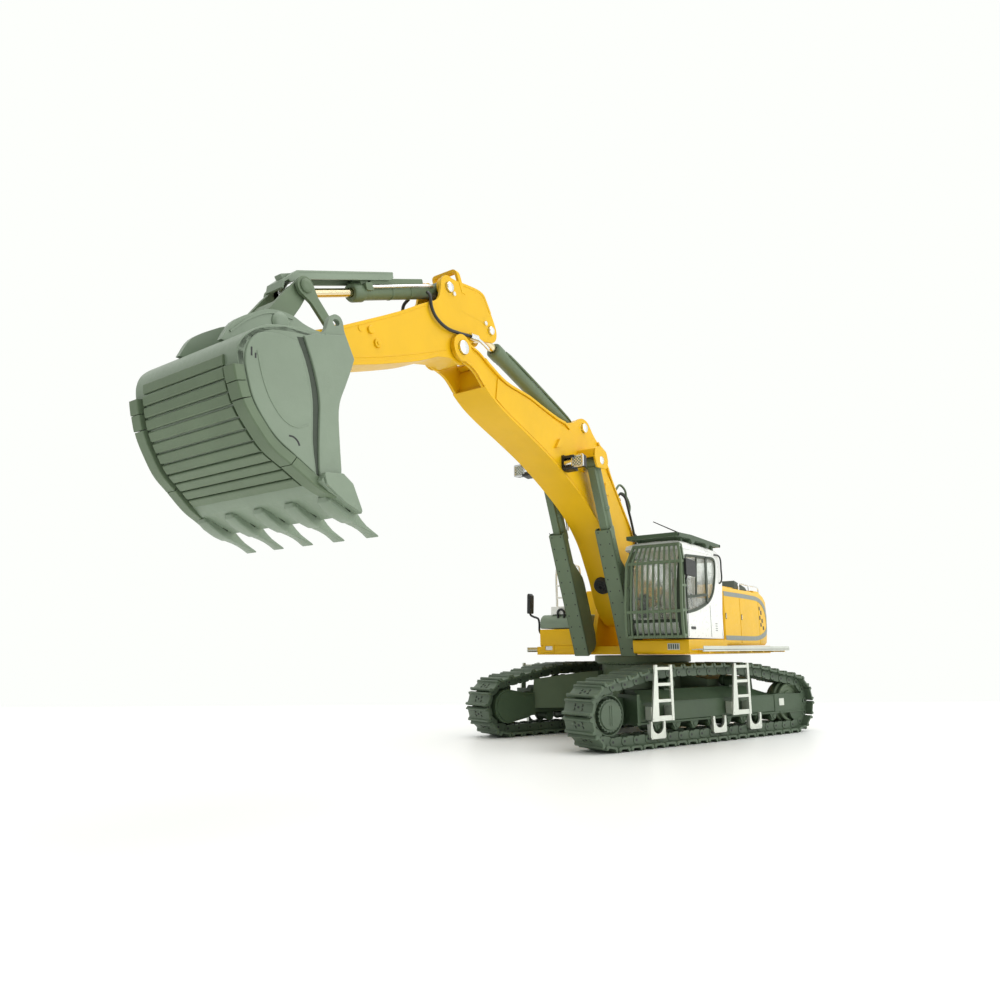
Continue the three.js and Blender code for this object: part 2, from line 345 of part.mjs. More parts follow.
// ================= stick =================
const stickG = group(boomG, [P_TIP[0], 0, P_TIP[1]]);
const stickSide = [
  [162.3, 106.4], [143.1, 117.4], [135.4, 122.3], [131.0, 124.9], [127.6, 127.6], [126.6, 132.4], [124.6, 134.6], [117.6, 135.5], [109.4, 136.6], [106.2, 135.3], [102.2, 129.6],
  [100.9, 126.4], [101.8, 123.6], [105.0, 122.3], [110.4, 120.6], [113.6, 118.6], [114.2, 114.8], [115.3, 112.3], [117.2, 110.9], [119.6, 110.6], [122.2, 111.6], [127.6, 110.4],
  [135.3, 106.5], [142.7, 103.6], [158.7, 98.0], [167.8, 94.4], [170.5, 93.9], [173.2, 95.0], [174.4, 97.6], [173.8, 100.4], [170.5, 102.4],
].reverse();
let stickGeo = cut(plate(stickSide, -STICK_W, STICK_W),
  box(98, 110.4, -2.45, 2.45, 118, 133.4), box(119.2, 130, -2.5, 2.5, 127.6, 137), // cylinder eye slots
  barY(P_TIP, 2.35, -8, 8, 16), barY(P_BUCKET, 1.75, -8, 8, 16), barY(P_TOP, 1.75, -8, 8, 16));
// bent hoop across the stick behind the bucket cylinder
const hoop = wall([[-4.65, 132.6], [-4.65, 138.2], [-3.6, 139.3], [3.6, 139.3], [4.65, 138.2], [4.65, 132.6], [3.7, 132.6], [3.7, 137.8], [3.2, 138.4], [-3.2, 138.4], [-3.7, 137.8], [-3.7, 132.6]].reverse(), 116.0, 117.5)
  .applyMatrix4(new THREE.Matrix4().set(1, 0, 0.5, -66.3, 0, 1, 0, 0, 0, 0, 1, 0, 0, 0, 0, 1));
stickGeo = add(stickGeo, hoop);
put(stickG, "stick", stickGeo, YELLOW);
put(stickG, "bucket_cylinder_pin", barY(P_TOP, 1.4, -5.4, 5.4, 14), SILVER);

// bucket cylinder
const bc = frameOf(P_TOP, P_JOINT);
const bcB = group(stickG, [P_TOP[0], 0, P_TOP[1]]);
put(bcB, "bucket_cylinder_barrel", cut(add(
  rodOn(P_TOP, P_JOINT, 0, 2.0, 1, 35.2, 20), rodOn(P_TOP, P_JOINT, 0, 2.35, 31.6, 35.4, 20), barY(P_TOP, 2.4, -2.2, 2.2, 18),
), barY(P_TOP, 1.75, -4, 4, 14), rodOn(P_TOP, P_JOINT, 0, 1.45, 13, 50, 16)), GREY);
const bcR = group(bcB, [P_TOP[0], 0, P_TOP[1]]);
put(bcR, "bucket_cylinder_rod", add(rodOn(P_TOP, P_JOINT, 0, 1.1, 26, bc.l - 1, 16), barY(P_JOINT, 2.0, -1.3, 1.3, 18)), CHROME);
const rg = [bc.at(18.4, 3.9), bc.at(17.8, 4.9), bc.at(55.4, 4.9), bc.at(58.4, 3.0), bc.at(58.6, 0.8), bc.at(57.6, 0.8), bc.at(57.4, 2.6), bc.at(54.8, 4.1), bc.at(54.0, 3.9)];
const rgEar = [bc.at(52.6, 4.4), bc.at(56.6, 4.4), bc.at(56.8, 2.3), bc.at(52.8, 2.3)];
put(bcR, "bucket_rod_guard", add(plate(rg.slice().reverse(), -2.8, 2.8), plate(rgEar.slice().reverse(), -1.0, 1.0)), GREY);

// rockers on the stick nose
const rockG = group(stickG, [P_ROCK[0], 0, P_ROCK[1]]);
const rk = frameOf(P_ROCK, P_JOINT);
const rockSide = [rk.at(-1.2, 1.3), rk.at(-1.8, 0), rk.at(-1.2, -1.3), rk.at(0, -1.8), rk.at(4, -1.25), rk.at(11, -1.3), rk.at(rk.l - 0.4, -2.1), rk.at(rk.l + 1.4, -1.6), rk.at(rk.l + 2.1, 0), rk.at(rk.l + 1.4, 1.6), rk.at(rk.l - 0.4, 2.1), rk.at(11, 1.3), rk.at(4, 1.25), rk.at(0, 1.8)];
for (const [side, k] of [["left", 1], ["right", -1]]) {
  const g = add(plate(rockSide, 5.05, 6.05), barY(P_JOINT, 1.35, 6.0, 6.7, 14));
  put(rockG, "rocker_" + side, k > 0 ? g : flip(g), GREY);
}

// ================= bucket =================
const bucketG = group(stickG, [P_BUCKET[0], 0, P_BUCKET[1]]);
const halfW = (x) => 23.6 - 0.27 * (x - 176);
const shell = [[176.8, 61.0], [181.8, 62.6], [187.1, 66.2], [190.7, 68.9], [193.5, 72.2], [196.5, 76.3], [197.9, 80], [198.8, 84], [198.5, 87.3], [197, 90.4], [194, 93.2], [190, 95.0], [185, 95.4], [179, 94.2]];
const shellIn = shell.map((p, i) => {
  const a = shell[Math.max(0, i - 1)], b = shell[Math.min(shell.length - 1, i + 1)], l = Math.hypot(b[0] - a[0], b[1] - a[1]);
  return [p[0] - ((b[1] - a[1]) / l) * 1.5, p[1] + ((b[0] - a[0]) / l) * 1.5];
});
// side plate with its rounded cheek and lifting eye
const cheek = [[177.2, 61.6], [182.2, 62.9], [187.4, 66.4], [191, 69.2], [193.8, 72.4], [196.6, 76.5], [198.1, 80.2], [199, 84], [198.6, 87.4], [196.4, 90.6], [194.2, 91.6], [191.1, 91.7], [187, 91.0],
  [184.8, 92.6], [183.4, 94.6], [182.9, 96.8], [181.4, 98.5], [179.4, 98.2], [178.6, 96.4], [178.4, 94.0], [176, 89.6], [177.3, 84], [178.2, 78.6], [177.4, 68]];
const taper = (g, y0) => { // lean a plate lying at y0 along the taper of the bucket
  const p = g.attributes.position;
  for (let i = 0; i < p.count; i++) p.setY(i, p.getY(i) - 0.27 * (p.getX(i) - 176));
  return g;
};
const wedge = slab([[150, -halfW(150)], [215, -halfW(215)], [215, halfW(215)], [150, halfW(150)]], 40, 120);
const bodyShell = common(plate([...shell, ...shellIn.slice().reverse()], -32, 32), wedge);
const cheekL = taper(plate(cheek.slice().reverse(), 22.4, 23.6, [circle([180.6, 96.0], 1.0, 10)]));
// ears: two plates on the back that carry both pins
const ear = [[195.9, 90.6], [193.6, 95.4], [188.4, 99.3], [185.6, 101.2], [183.0, 102.2], [180.6, 102.2], [178.4, 101.4], [175.6, 100.2], [173.4, 100.6], [170.8, 101.1], [168.2, 100.1], [167.1, 97.7], [168.0, 95.2], [170.4, 94.4], [174.6, 93.0], [180, 92.4], [188, 93.2], [192.6, 91.6]];
const earP = (y0, y1) => plate(ear.slice().reverse(), y0, y1);
const tubeTop = plate([[176.6, 90.4], [181, 91.6], [181, 94.9], [177.2, 94.3]].reverse(), -22.6, 22.6); // cross tube at the mouth
const lip = plate([[171.6, 58.4], [172.6, 59.8], [178.4, 63.0], [182, 63.2], [180.6, 61.4], [176.4, 59.6]].reverse(), -23.6, 23.6);
const teeth = [];
for (let i = -2; i <= 2; i++) {
  const y = i * 10, w = 1.7;
  teeth.push(plate([[178.2, 61.6], [177.6, 63.8], [172.4, 62.6], [169.6, 60.2], [165.6, 55.0], [166.4, 54.3], [170.6, 57.4], [173.4, 57.6]], y - w, y + w));
}
const bars2 = [];
for (let i = 0; i < 9; i++) {
  const p = shell[i], q = shell[i + 1], f = frameOf(p, q), hw = halfW(Math.max(p[0], q[0])) - 3.0;
  bars2.push(plate([f.at(0.35, -0.75), f.at(0.35, 0.3), f.at(f.l - 0.35, 0.3), f.at(f.l - 0.35, -0.75)], -hw, hw));
}
const rim = (k) => taper(plate([...shell.slice(0, 10).map((p, i) => {
  const a = shell[Math.max(0, i - 1)], b = shell[i + 1], l = Math.hypot(b[0] - a[0], b[1] - a[1]);
  return [p[0] + ((b[1] - a[1]) / l) * 1.3, p[1] - ((b[0] - a[0]) / l) * 1.3];
}), ...shell.slice(0, 10).reverse().map((p) => [p[0] - 0.4, p[1] + 0.3])], 20.4, 23.2));
const rimL = rim(1);
const bucket = add(bodyShell, cheekL, flip(cheekL), earP(6.45, 7.9), earP(-7.9, -6.45), tubeTop, lip, ...teeth, ...bars2, rimL, flip(rimL),
  barY(P_LINK, 2.0, 7.5, 8.6, 16), barY(P_LINK, 2.0, -8.6, -7.5, 16));
put(bucketG, "bucket", cut(bucket, barY(P_BUCKET, 1.75, -12, 12, 16)), GREY);
put(bucketG, "bucket_pin", barY(P_BUCKET, 1.4, -8.6, 8.6, 16), SILVER);
// tipping link between the ears, hinged on the bucket's upper pin
const linkG = group(bucketG, [P_LINK[0], 0, P_LINK[1]]);
const lk = frameOf(P_LINK, P_JOINT);
const linkSide = [lk.at(-1.6, 1.5), lk.at(-2.1, 0), lk.at(-1.6, -1.5), lk.at(0, -2.1), lk.at(4, -2.6), lk.at(lk.l - 4, -2.3), lk.at(lk.l - 0.3, -1.9), lk.at(lk.l + 1.5, -1.2), lk.at(lk.l + 1.9, 0), lk.at(lk.l + 1.5, 1.2), lk.at(lk.l - 0.3, 1.9), lk.at(lk.l - 4, 2.3), lk.at(4, 2.6), lk.at(0, 2.1)];
put(linkG, "tipping_link", cut(plate(linkSide, -4.7, 4.7), plate([lk.at(lk.l - 6.2, -6), lk.at(lk.l + 5, -6), lk.at(lk.l + 5, 6), lk.at(lk.l - 6.2, 6)], -3.4, 3.4)), GREY);

export default machine;
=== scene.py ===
import bpy, bmesh, math, json
from math import sin, cos, pi, radians, hypot, atan2
from mathutils import Vector, Matrix
from mathutils.geometry import tessellate_polygon


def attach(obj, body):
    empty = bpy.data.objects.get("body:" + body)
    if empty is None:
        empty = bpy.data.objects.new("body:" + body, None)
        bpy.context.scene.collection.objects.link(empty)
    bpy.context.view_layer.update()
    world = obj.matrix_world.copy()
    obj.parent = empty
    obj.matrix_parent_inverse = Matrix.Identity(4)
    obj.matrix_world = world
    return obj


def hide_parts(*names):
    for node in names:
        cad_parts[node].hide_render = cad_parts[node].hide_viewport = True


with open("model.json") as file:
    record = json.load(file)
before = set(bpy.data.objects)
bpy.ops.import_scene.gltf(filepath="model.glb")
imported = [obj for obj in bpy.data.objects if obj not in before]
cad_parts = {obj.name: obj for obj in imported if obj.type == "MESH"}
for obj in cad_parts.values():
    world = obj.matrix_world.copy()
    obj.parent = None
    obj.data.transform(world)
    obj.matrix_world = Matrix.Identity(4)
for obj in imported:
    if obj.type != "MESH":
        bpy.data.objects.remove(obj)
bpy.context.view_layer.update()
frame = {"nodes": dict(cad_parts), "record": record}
NODES = frame["nodes"]

# ------------------------------------------------------------------ frames
# Shapes are written in millimetres in the upper-structure frame (slew axis at 0, 0), or in the turned track frame.
SX, SY, PSI = -66.303, 0.007, radians(17.93)


def up(p):
    return Vector(((p[0] + SX) / 1000, (p[1] + SY) / 1000, p[2] / 1000))


def tr(p):
    x, y, z = p
    return up((x * cos(PSI) + y * sin(PSI), -x * sin(PSI) + y * cos(PSI), z))


def flipped(fr):
    return lambda p: fr((p[0], -p[1], p[2]))


P_FOOT, P_TIP, P_CYL0, P_CYL1 = (15, 44), (118.8, 115.2), (27.5, 33), (51.5, 95)
P_HUMP, P_REAR, P_TOP = (50.6, 107.9), (103.8, 125.9), (123.3, 132.2)
P_JOINT, P_LINK, P_BUCKET, P_ROCK = (174.4, 111.3), (182.0, 99.3), (170.5, 97.9), (162.9, 100.9)
CYL_Y = 9.4


class Line:
    """A line in X-Z from a to b: at(s, t) is s along it and t to its left."""

    def __init__(self, a, b):
        self.a, self.l = a, hypot(b[0] - a[0], b[1] - a[1])
        self.u = ((b[0] - a[0]) / self.l, (b[1] - a[1]) / self.l)

    def at(self, s, t=0.0):
        u = self.u
        return (self.a[0] + u[0] * s - u[1] * t, self.a[1] + u[1] * s + u[0] * t)

    def p3(self, s, t=0.0, y=0.0):
        q = self.at(s, t)
        return (q[0], y, q[1])


# ------------------------------------------------------------------ materials
def new_mat(name):
    m = bpy.data.materials.new(name)
    m.use_nodes = True
    nt = m.node_tree
    nt.nodes.clear()
    out = nt.nodes.new("ShaderNodeOutputMaterial")
    b = nt.nodes.new("ShaderNodeBsdfPrincipled")
    nt.links.new(b.outputs[0], out.inputs[0])
    return m, nt, b


def noise(nt, scale, detail=3.0, rough=0.55):
    tc = nt.nodes.new("ShaderNodeTexCoord")
    n = nt.nodes.new("ShaderNodeTexNoise")
    n.inputs["Scale"].default_value = scale
    n.inputs["Detail"].default_value = detail
    n.inputs["Roughness"].default_value = rough
    nt.links.new(tc.outputs["Object"], n.inputs["Vector"])
    return n


def ramp(nt, src, stops):
    r = nt.nodes.new("ShaderNodeValToRGB")
    els = r.color_ramp.elements
    while len(els) < len(stops):
        els.new(0.5)
    for e, (pos, col) in zip(els, stops):
        e.position = pos
        e.color = (*col, 1) if len(col) == 3 else col
    nt.links.new(src, r.inputs["Fac"])
    return r


def span(nt, src, lo, hi):
    m = nt.nodes.new("ShaderNodeMapRange")
    m.inputs["From Min"].default_value = 0.3
    m.inputs["From Max"].default_value = 0.7
    m.inputs["To Min"].default_value = lo
    m.inputs["To Max"].default_value = hi
    nt.links.new(src, m.inputs["Value"])
    return m


def surface(name, col, rough, metal=0.0, vary=0.06, peel=900.0, bump=0.05, fine=6000.0, fine_bump=0.04, coat=0.0, coat_rough=0.1, spec=0.5, dust=0.0):
    """Paint, plastic or plated metal: a colour that drifts a little, uneven gloss, orange peel and a fine grain."""
    m, nt, b = new_mat(name)
    big = noise(nt, 90.0, 3.0)
    dark = tuple(max(0.0, c * (1 - vary)) for c in col)
    light = tuple(min(1.0, c * (1 + vary) + dust) for c in col)
    r = ramp(nt, big.outputs["Fac"], [(0.32, dark), (0.68, light)])
    nt.links.new(r.outputs["Color"], b.inputs["Base Color"])
    n2 = noise(nt, peel, 4.0)
    n3 = noise(nt, fine, 2.0)
    sp = span(nt, n2.outputs["Fac"], max(0.02, rough - 0.06), rough + 0.07)
    nt.links.new(sp.outputs["Result"], b.inputs["Roughness"])
    b1 = nt.nodes.new("ShaderNodeBump")
    b1.inputs["Strength"].default_value = bump
    b1.inputs["Distance"].default_value = 0.0002
    nt.links.new(n2.outputs["Fac"], b1.inputs["Height"])
    b2 = nt.nodes.new("ShaderNodeBump")
    b2.inputs["Strength"].default_value = fine_bump
    b2.inputs["Distance"].default_value = 0.00008
    nt.links.new(n3.outputs["Fac"], b2.inputs["Height"])
    nt.links.new(b1.outputs["Normal"], b2.inputs["Normal"])
    nt.links.new(b2.outputs["Normal"], b.inputs["Normal"])
    b.inputs["Metallic"].default_value = metal
    b.inputs["Coat Weight"].default_value = coat
    b.inputs["Coat Roughness"].default_value = coat_rough
    b.inputs["Specular IOR Level"].default_value = spec
    return m


YEL = surface("yellow_enamel", (0.775, 0.450, 0.003), 0.38, vary=0.04, peel=700, bump=0.10, fine_bump=0.05, coat=0.08, coat_rough=0.2, spec=0.26)
GRY = surface("green_grey_enamel", (0.124, 0.172, 0.102), 0.44, vary=0.07, peel=1200, bump=0.10, fine_bump=0.10, spec=0.35)
BKT = surface("bucket_enamel", (0.194, 0.252, 0.178), 0.40, vary=0.05, peel=1200, bump=0.10, fine_bump=0.12, spec=0.5)
FRM = surface("frame_enamel", (0.054, 0.088, 0.047), 0.42, vary=0.08, peel=1200, bump=0.10, fine_bump=0.10, spec=0.35)
TRK = surface("track_enamel", (0.080, 0.116, 0.072), 0.46, vary=0.12, peel=1400, bump=0.2, fine_bump=0.22, spec=0.4)
DRK = surface("dark_moulding", (0.036, 0.052, 0.032), 0.46, vary=0.08, peel=1500, bump=0.08, fine_bump=0.12, spec=0.4)
BLK = surface("black_moulding", (0.012, 0.014, 0.013), 0.45, vary=0.1, peel=1500, bump=0.06, fine_bump=0.1)
RUB = surface("hose_rubber", (0.022, 0.024, 0.022), 0.55, vary=0.12, peel=2500, bump=0.1, fine_bump=0.2)
WHT = surface("white_enamel", (0.84, 0.85, 0.81), 0.3, vary=0.015, peel=800, bump=0.06, fine_bump=0.04, coat=0.3, coat_rough=0.15)
SIL = surface("bright_plating", (0.80, 0.81, 0.80), 0.27, metal=1.0, vary=0.04, peel=1800, bump=0.08, fine_bump=0.1)
LAD = surface("silver_paint", (0.63, 0.66, 0.59), 0.36, metal=0.55, vary=0.04, peel=1800, bump=0.1, fine_bump=0.15)
CHR = surface("polished_rod", (0.86, 0.86, 0.84), 0.1, metal=1.0, vary=0.02, peel=3000, bump=0.03, fine_bump=0.03)
BRS = surface("nickel_brass_rod", (0.78, 0.66, 0.42), 0.16, metal=1.0, vary=0.04, peel=3000, bump=0.03, fine_bump=0.03)
SEA = surface("seat_moulding", (0.42, 0.37, 0.27), 0.62, vary=0.1, peel=2500, bump=0.2, fine_bump=0.3)
STR = surface("grey_stripe_print", (0.20, 0.23, 0.20), 0.4, vary=0.03, peel=900, bump=0.06, fine_bump=0.05, coat=0.2, coat_rough=0.25)
LNS = surface("lamp_lens", (0.82, 0.83, 0.80), 0.12, metal=0.35, vary=0.03, peel=2500, bump=0.1, fine_bump=0.1, coat=0.5)


def glass():
    m, nt, b = new_mat("clear_glazing_insert")
    n = noise(nt, 700.0, 2.0)
    r = ramp(nt, n.outputs["Fac"], [(0.3, (0.86, 0.92, 0.85)), (0.7, (0.90, 0.95, 0.89))])
    nt.links.new(r.outputs["Color"], b.inputs["Base Color"])
    sp = span(nt, n.outputs["Fac"], 0.015, 0.03)
    nt.links.new(sp.outputs["Result"], b.inputs["Roughness"])
    b.inputs["Transmission Weight"].default_value = 0.75
    b.inputs["IOR"].default_value = 1.2
    b.inputs["Alpha"].default_value = 0.42
    return m


GLS = glass()


# ------------------------------------------------------------------ mesh building
class Piece:
    def __init__(self, fr=up, warp=None):
        self.v, self.f, self.m, self.s = [], [], [], []
        self.fr, self.warp, self.mi = fr, warp, 0

    def put(self, vs, fs, smooth=False):
        n = len(self.v)
        for p in vs:
            if self.warp:
                p = self.warp(p)
            self.v.append(self.fr(p))
        for f in fs:
            self.f.append([i + n for i in f])
            self.m.append(self.mi)
        return self

    # outline in two axes, extruded along the third
    def prism(self, o, w0, w1, plane="xz", holes=()):
        loops = [list(o)] + [list(h) for h in holes]
        flat, idx = [], []
        for lp in loops:
            idx.append(list(range(len(flat), len(flat) + len(lp))))
            flat += lp
        n = len(flat)

        def at(q, w):
            return {"xz": (q[0], w, q[1]), "xy": (q[0], q[1], w), "yz": (w, q[0], q[1])}[plane]

        vs = [at(q, w0) for q in flat] + [at(q, w1) for q in flat]
        fs = []
        if holes:
            tris = tessellate_polygon([[Vector((q[0], q[1], 0)) for q in lp] for lp in loops])
            fs += [list(t) for t in tris] + [[i + n for i in reversed(t)] for t in tris]
        else:
            fs += [list(range(n)), list(range(2 * n - 1, n - 1, -1))]
        for lp in idx:
            for k in range(len(lp)):
                a, b = lp[k], lp[(k + 1) % len(lp)]
                fs.append([a, b, b + n, a + n])
        return self.put(vs, fs)

    def box(self, x0, x1, y0, y1, z0, z1):
        return self.prism([(x0, z0), (x1, z0), (x1, z1), (x0, z1)], y0, y1)

    # loft through closed sections of equal length, capped at both ends
    def loft(self, secs, closed=False):
        n, k = len(secs[0]), len(secs)
        vs = [p for s in secs for p in s]
        fs = []
        for j in range(k if closed else k - 1):
            for i in range(n):
                a, b = j * n + i, j * n + (i + 1) % n
                c, d = ((j + 1) % k) * n + (i + 1) % n, ((j + 1) % k) * n + i
                fs.append([a, b, c, d])
        if not closed:
            fs += [list(range(n - 1, -1, -1)), list(range((k - 1) * n, k * n))]
        return self.put(vs, fs)

    # turned shape: profile of (distance along, radius) from point p along direction d
    def turn(self, p, d, prof, n=32, phase=0.0):
        d = Vector(d).normalized()
        a = d.orthogonal().normalized()
        if abs(d.y) > 0.9:
            a = Vector((0, 0, 1))
        b = d.cross(a)
        P = Vector(p)
        vs, rings = [], []
        for s, r in prof:
            c = P + d * s
            if r < 1e-6:
                rings.append([len(vs)])
                vs.append(tuple(c))
            else:
                rings.append(list(range(len(vs), len(vs) + n)))
                vs += [tuple(c + (a * cos(2 * pi * i / n + phase) + b * sin(2 * pi * i / n + phase)) * r) for i in range(n)]
        fs = []
        for r0, r1 in zip(rings, rings[1:]):
            for i in range(n):
                j = (i + 1) % n
                if len(r0) == 1 and len(r1) == 1:
                    continue
                if len(r0) == 1:
                    fs.append([r0[0], r1[j], r1[i]])
                elif len(r1) == 1:
                    fs.append([r0[i], r0[j], r1[0]])
                else:
                    fs.append([r0[i], r0[j], r1[j], r1[i]])
        if len(rings[0]) > 1:
            fs.append(rings[0][::-1])
        if len(rings[-1]) > 1:
            fs.append(rings[-1])
        return self.put(vs, fs)

    def cyl(self, p, q, r, n=24, c=0.12, r2=None):
        d = Vector(q) - Vector(p)
        l = d.length
        r2 = r if r2 is None else r2
        c = min(c, r * 0.45, l * 0.4)
        return self.turn(p, d, [(0, 0), (0, r - c), (c, r), (l - c, r2), (l, r2 - c), (l, 0)], n)

    def pin(self, c, y0, y1, r, n=24, dome=0.35):
        """round pin across Y with domed heads"""
        s = 1 if y1 > y0 else -1
        l = abs(y1 - y0)
        return self.turn((c[0], y0, c[1]), (0, s, 0), [(0, 0), (0, r * 0.8), (0.15, r), (l - dome, r), (l - dome * 0.35, r * 0.8), (l - dome * 0.08, r * 0.45), (l, 0)], n)

    def tube(self, pts, r, n=10, sub=6, closed=False):
        P = smooth3(pts, sub, closed) if sub > 1 else [Vector(p) for p in pts]
        T = []
        for i in range(len(P)):
            a = P[i - 1] if (i > 0 or closed) else P[i]
            b = P[(i + 1) % len(P)] if (i < len(P) - 1 or closed) else P[i]
            T.append((b - a).normalized())
        nrm = T[0].orthogonal().normalized()
        secs = []
        for i, (p, t) in enumerate(zip(P, T)):
            nrm = (nrm - t * nrm.dot(t)).normalized()
            b = t.cross(nrm)
            rr = r(i / (len(P) - 1)) if callable(r) else r
            secs.append([tuple(p + nrm * (rr * cos(2 * pi * k / n)) + b * (rr * sin(2 * pi * k / n))) for k in range(n)])
        return self.loft(secs, closed)

    # strip of rectangular section following an X-Z line, w0..w1 in Y, t0..t1 to the left of the line
    def strip(self, pts, y0, y1, t0, t1, closed=False):
        n = offsets(pts, closed)
        secs = []
        for p, m in zip(pts, n):
            a, b = (p[0] + m[0] * t0, p[1] + m[1] * t0), (p[0] + m[0] * t1, p[1] + m[1] * t1)
            ya, yb = (y0(p), y1(p)) if callable(y0) else (y0, y1)
            secs.append([(a[0], ya, a[1]), (a[0], yb, a[1]), (b[0], yb, b[1]), (b[0], ya, b[1])])
        return self.loft(secs, closed)

    def done(self, name, body, mats, bevel=0.12, seg=2, angle=32, replaces=(), auto=32):
        me = bpy.data.meshes.new(name)
        bm = bmesh.new()
        vs = [bm.verts.new(p) for p in self.v]
        for f, mi in zip(self.f, self.m):
            try:
                face = bm.faces.new([vs[i] for i in f])
                face.material_index = mi
                face.smooth = True
            except ValueError:
                pass
        bmesh.ops.recalc_face_normals(bm, faces=bm.faces)
        bm.to_mesh(me)
        bm.free()
        mats = mats if isinstance(mats, (list, tuple)) else [mats]
        for m in mats:
            me.materials.append(m)
        ob = bpy.data.objects.new(name, me)
        bpy.context.scene.collection.objects.link(ob)
        me.set_sharp_from_angle(angle=radians(auto))
        if bevel:
            bv = ob.modifiers.new("edge", "BEVEL")
            bv.width = bevel / 1000
            bv.segments = seg
            bv.limit_method = "ANGLE"
            bv.angle_limit = radians(angle)
            bv.harden_normals = True
            bv.use_clamp_overlap = True
        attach(ob, body)
        if replaces:
            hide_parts(*replaces)
        return ob


def smooth3(pts, sub, closed=False):
    """points on a Catmull-Rom curve through pts"""
    P = [Vector(p) for p in pts]
    n = len(P)
    out = []
    for i in range(n if closed else n - 1):
        p0 = P[(i - 1) % n] if (i > 0 or closed) else P[0] * 2 - P[1]
        p1, p2 = P[i], P[(i + 1) % n]
        p3 = P[(i + 2) % n] if (i + 2 < n or closed) else P[-1] * 2 - P[-2]
        t0 = 0.0
        t1 = t0 + max(1e-6, (p1 - p0).length) ** 0.5
        t2 = t1 + max(1e-6, (p2 - p1).length) ** 0.5
        t3 = t2 + max(1e-6, (p3 - p2).length) ** 0.5
        for k in range(sub):
            t = t1 + (t2 - t1) * k / sub
            A1 = p0 * ((t1 - t) / (t1 - t0)) + p1 * ((t - t0) / (t1 - t0))
            A2 = p1 * ((t2 - t) / (t2 - t1)) + p2 * ((t - t1) / (t2 - t1))
            A3 = p2 * ((t3 - t) / (t3 - t2)) + p3 * ((t - t2) / (t3 - t2))
            B1 = A1 * ((t2 - t) / (t2 - t0)) + A2 * ((t - t0) / (t2 - t0))
            B2 = A2 * ((t3 - t) / (t3 - t1)) + A3 * ((t - t1) / (t3 - t1))
            out.append(B1 * ((t2 - t) / (t2 - t1)) + B2 * ((t - t1) / (t2 - t1)))
    if not closed:
        out.append(P[-1])
    return out


def smooth2(pts, sub=4, closed=False):
    return [(v.x, v.z) for v in smooth3([(p[0], 0, p[1]) for p in pts], sub, closed)]


def offsets(pts, closed=False):
    """left normals with mitre at each point of a polyline"""
    out, n = [], len(pts)
    for i in range(n):
        a = pts[i - 1] if (i > 0 or closed) else None
        b = pts[(i + 1) % n] if (i < n - 1 or closed) else None
        p = pts[i]
        ns = []
        for q, r in ((a, p), (p, b)):
            if q is None or r is None:
                continue
            l = hypot(r[0] - q[0], r[1] - q[1]) or 1e-9
            ns.append((-(r[1] - q[1]) / l, (r[0] - q[0]) / l))
        m = (sum(k[0] for k in ns) / len(ns), sum(k[1] for k in ns) / len(ns))
        l2 = max(0.35, m[0] ** 2 + m[1] ** 2)
        out.append((m[0] / l2, m[1] / l2))
    return out


def inset(o, d):
    """closed outline moved to its left by d"""
    return [(p[0] + m[0] * d, p[1] + m[1] * d) for p, m in zip(o, offsets(o, True))]


def ring2(c, r, n=24, a0=0.0, a1=2 * pi, open_=False):
    k = n - 1 if open_ else n
    return [(c[0] + r * cos(a0 + (a1 - a0) * i / k), c[1] + r * sin(a0 + (a1 - a0) * i / k)) for i in range(n)]


def rounded(o, r, n=4):
    """closed outline with its corners rounded to r"""
    out, k = [], len(o)
    for i in range(k):
        a, p, b = o[i - 1], o[i], o[(i + 1) % k]
        la, lb = hypot(a[0] - p[0], a[1] - p[1]), hypot(b[0] - p[0], b[1] - p[1])
        rr = r[i] if isinstance(r, (list, tuple)) else r
        if rr <= 0:
            out.append(p)
            continue
        ua, ub = ((a[0] - p[0]) / la, (a[1] - p[1]) / la), ((b[0] - p[0]) / lb, (b[1] - p[1]) / lb)
        c = max(-0.9999, min(0.9999, ua[0] * ub[0] + ua[1] * ub[1]))
        th = math.acos(c)
        d = min(rr / math.tan(th / 2), la * 0.48, lb * 0.48)
        s, e = (p[0] + ua[0] * d, p[1] + ua[1] * d), (p[0] + ub[0] * d, p[1] + ub[1] * d)
        for j in range(n + 1):
            t = j / n
            out.append(((1 - t) ** 2 * s[0] + 2 * t * (1 - t) * p[0] + t * t * e[0], (1 - t) ** 2 * s[1] + 2 * t * (1 - t) * p[1] + t * t * e[1]))
    return out


def both(fn, *a, **k):
    """builds a piece on the left, then its mirror image on the right"""
    for side, fl in (("left", False), ("right", True)):
        fn(side, fl, *a, **k)


def keep(name, mat, bevel=0.12, seg=2):
    """a CAD node whose own shape shows, with softened edges"""
    o = NODES[name]
    o.data.materials.clear()
    o.data.materials.append(mat)
    for p in o.data.polygons:
        p.use_smooth = True
    o.data.set_sharp_from_angle(angle=radians(32))
    bv = o.modifiers.new("edge", "BEVEL")
    bv.width = bevel / 1000
    bv.segments = seg
    bv.limit_method = "ANGLE"
    bv.angle_limit = radians(32)
    bv.harden_normals = True
    return o


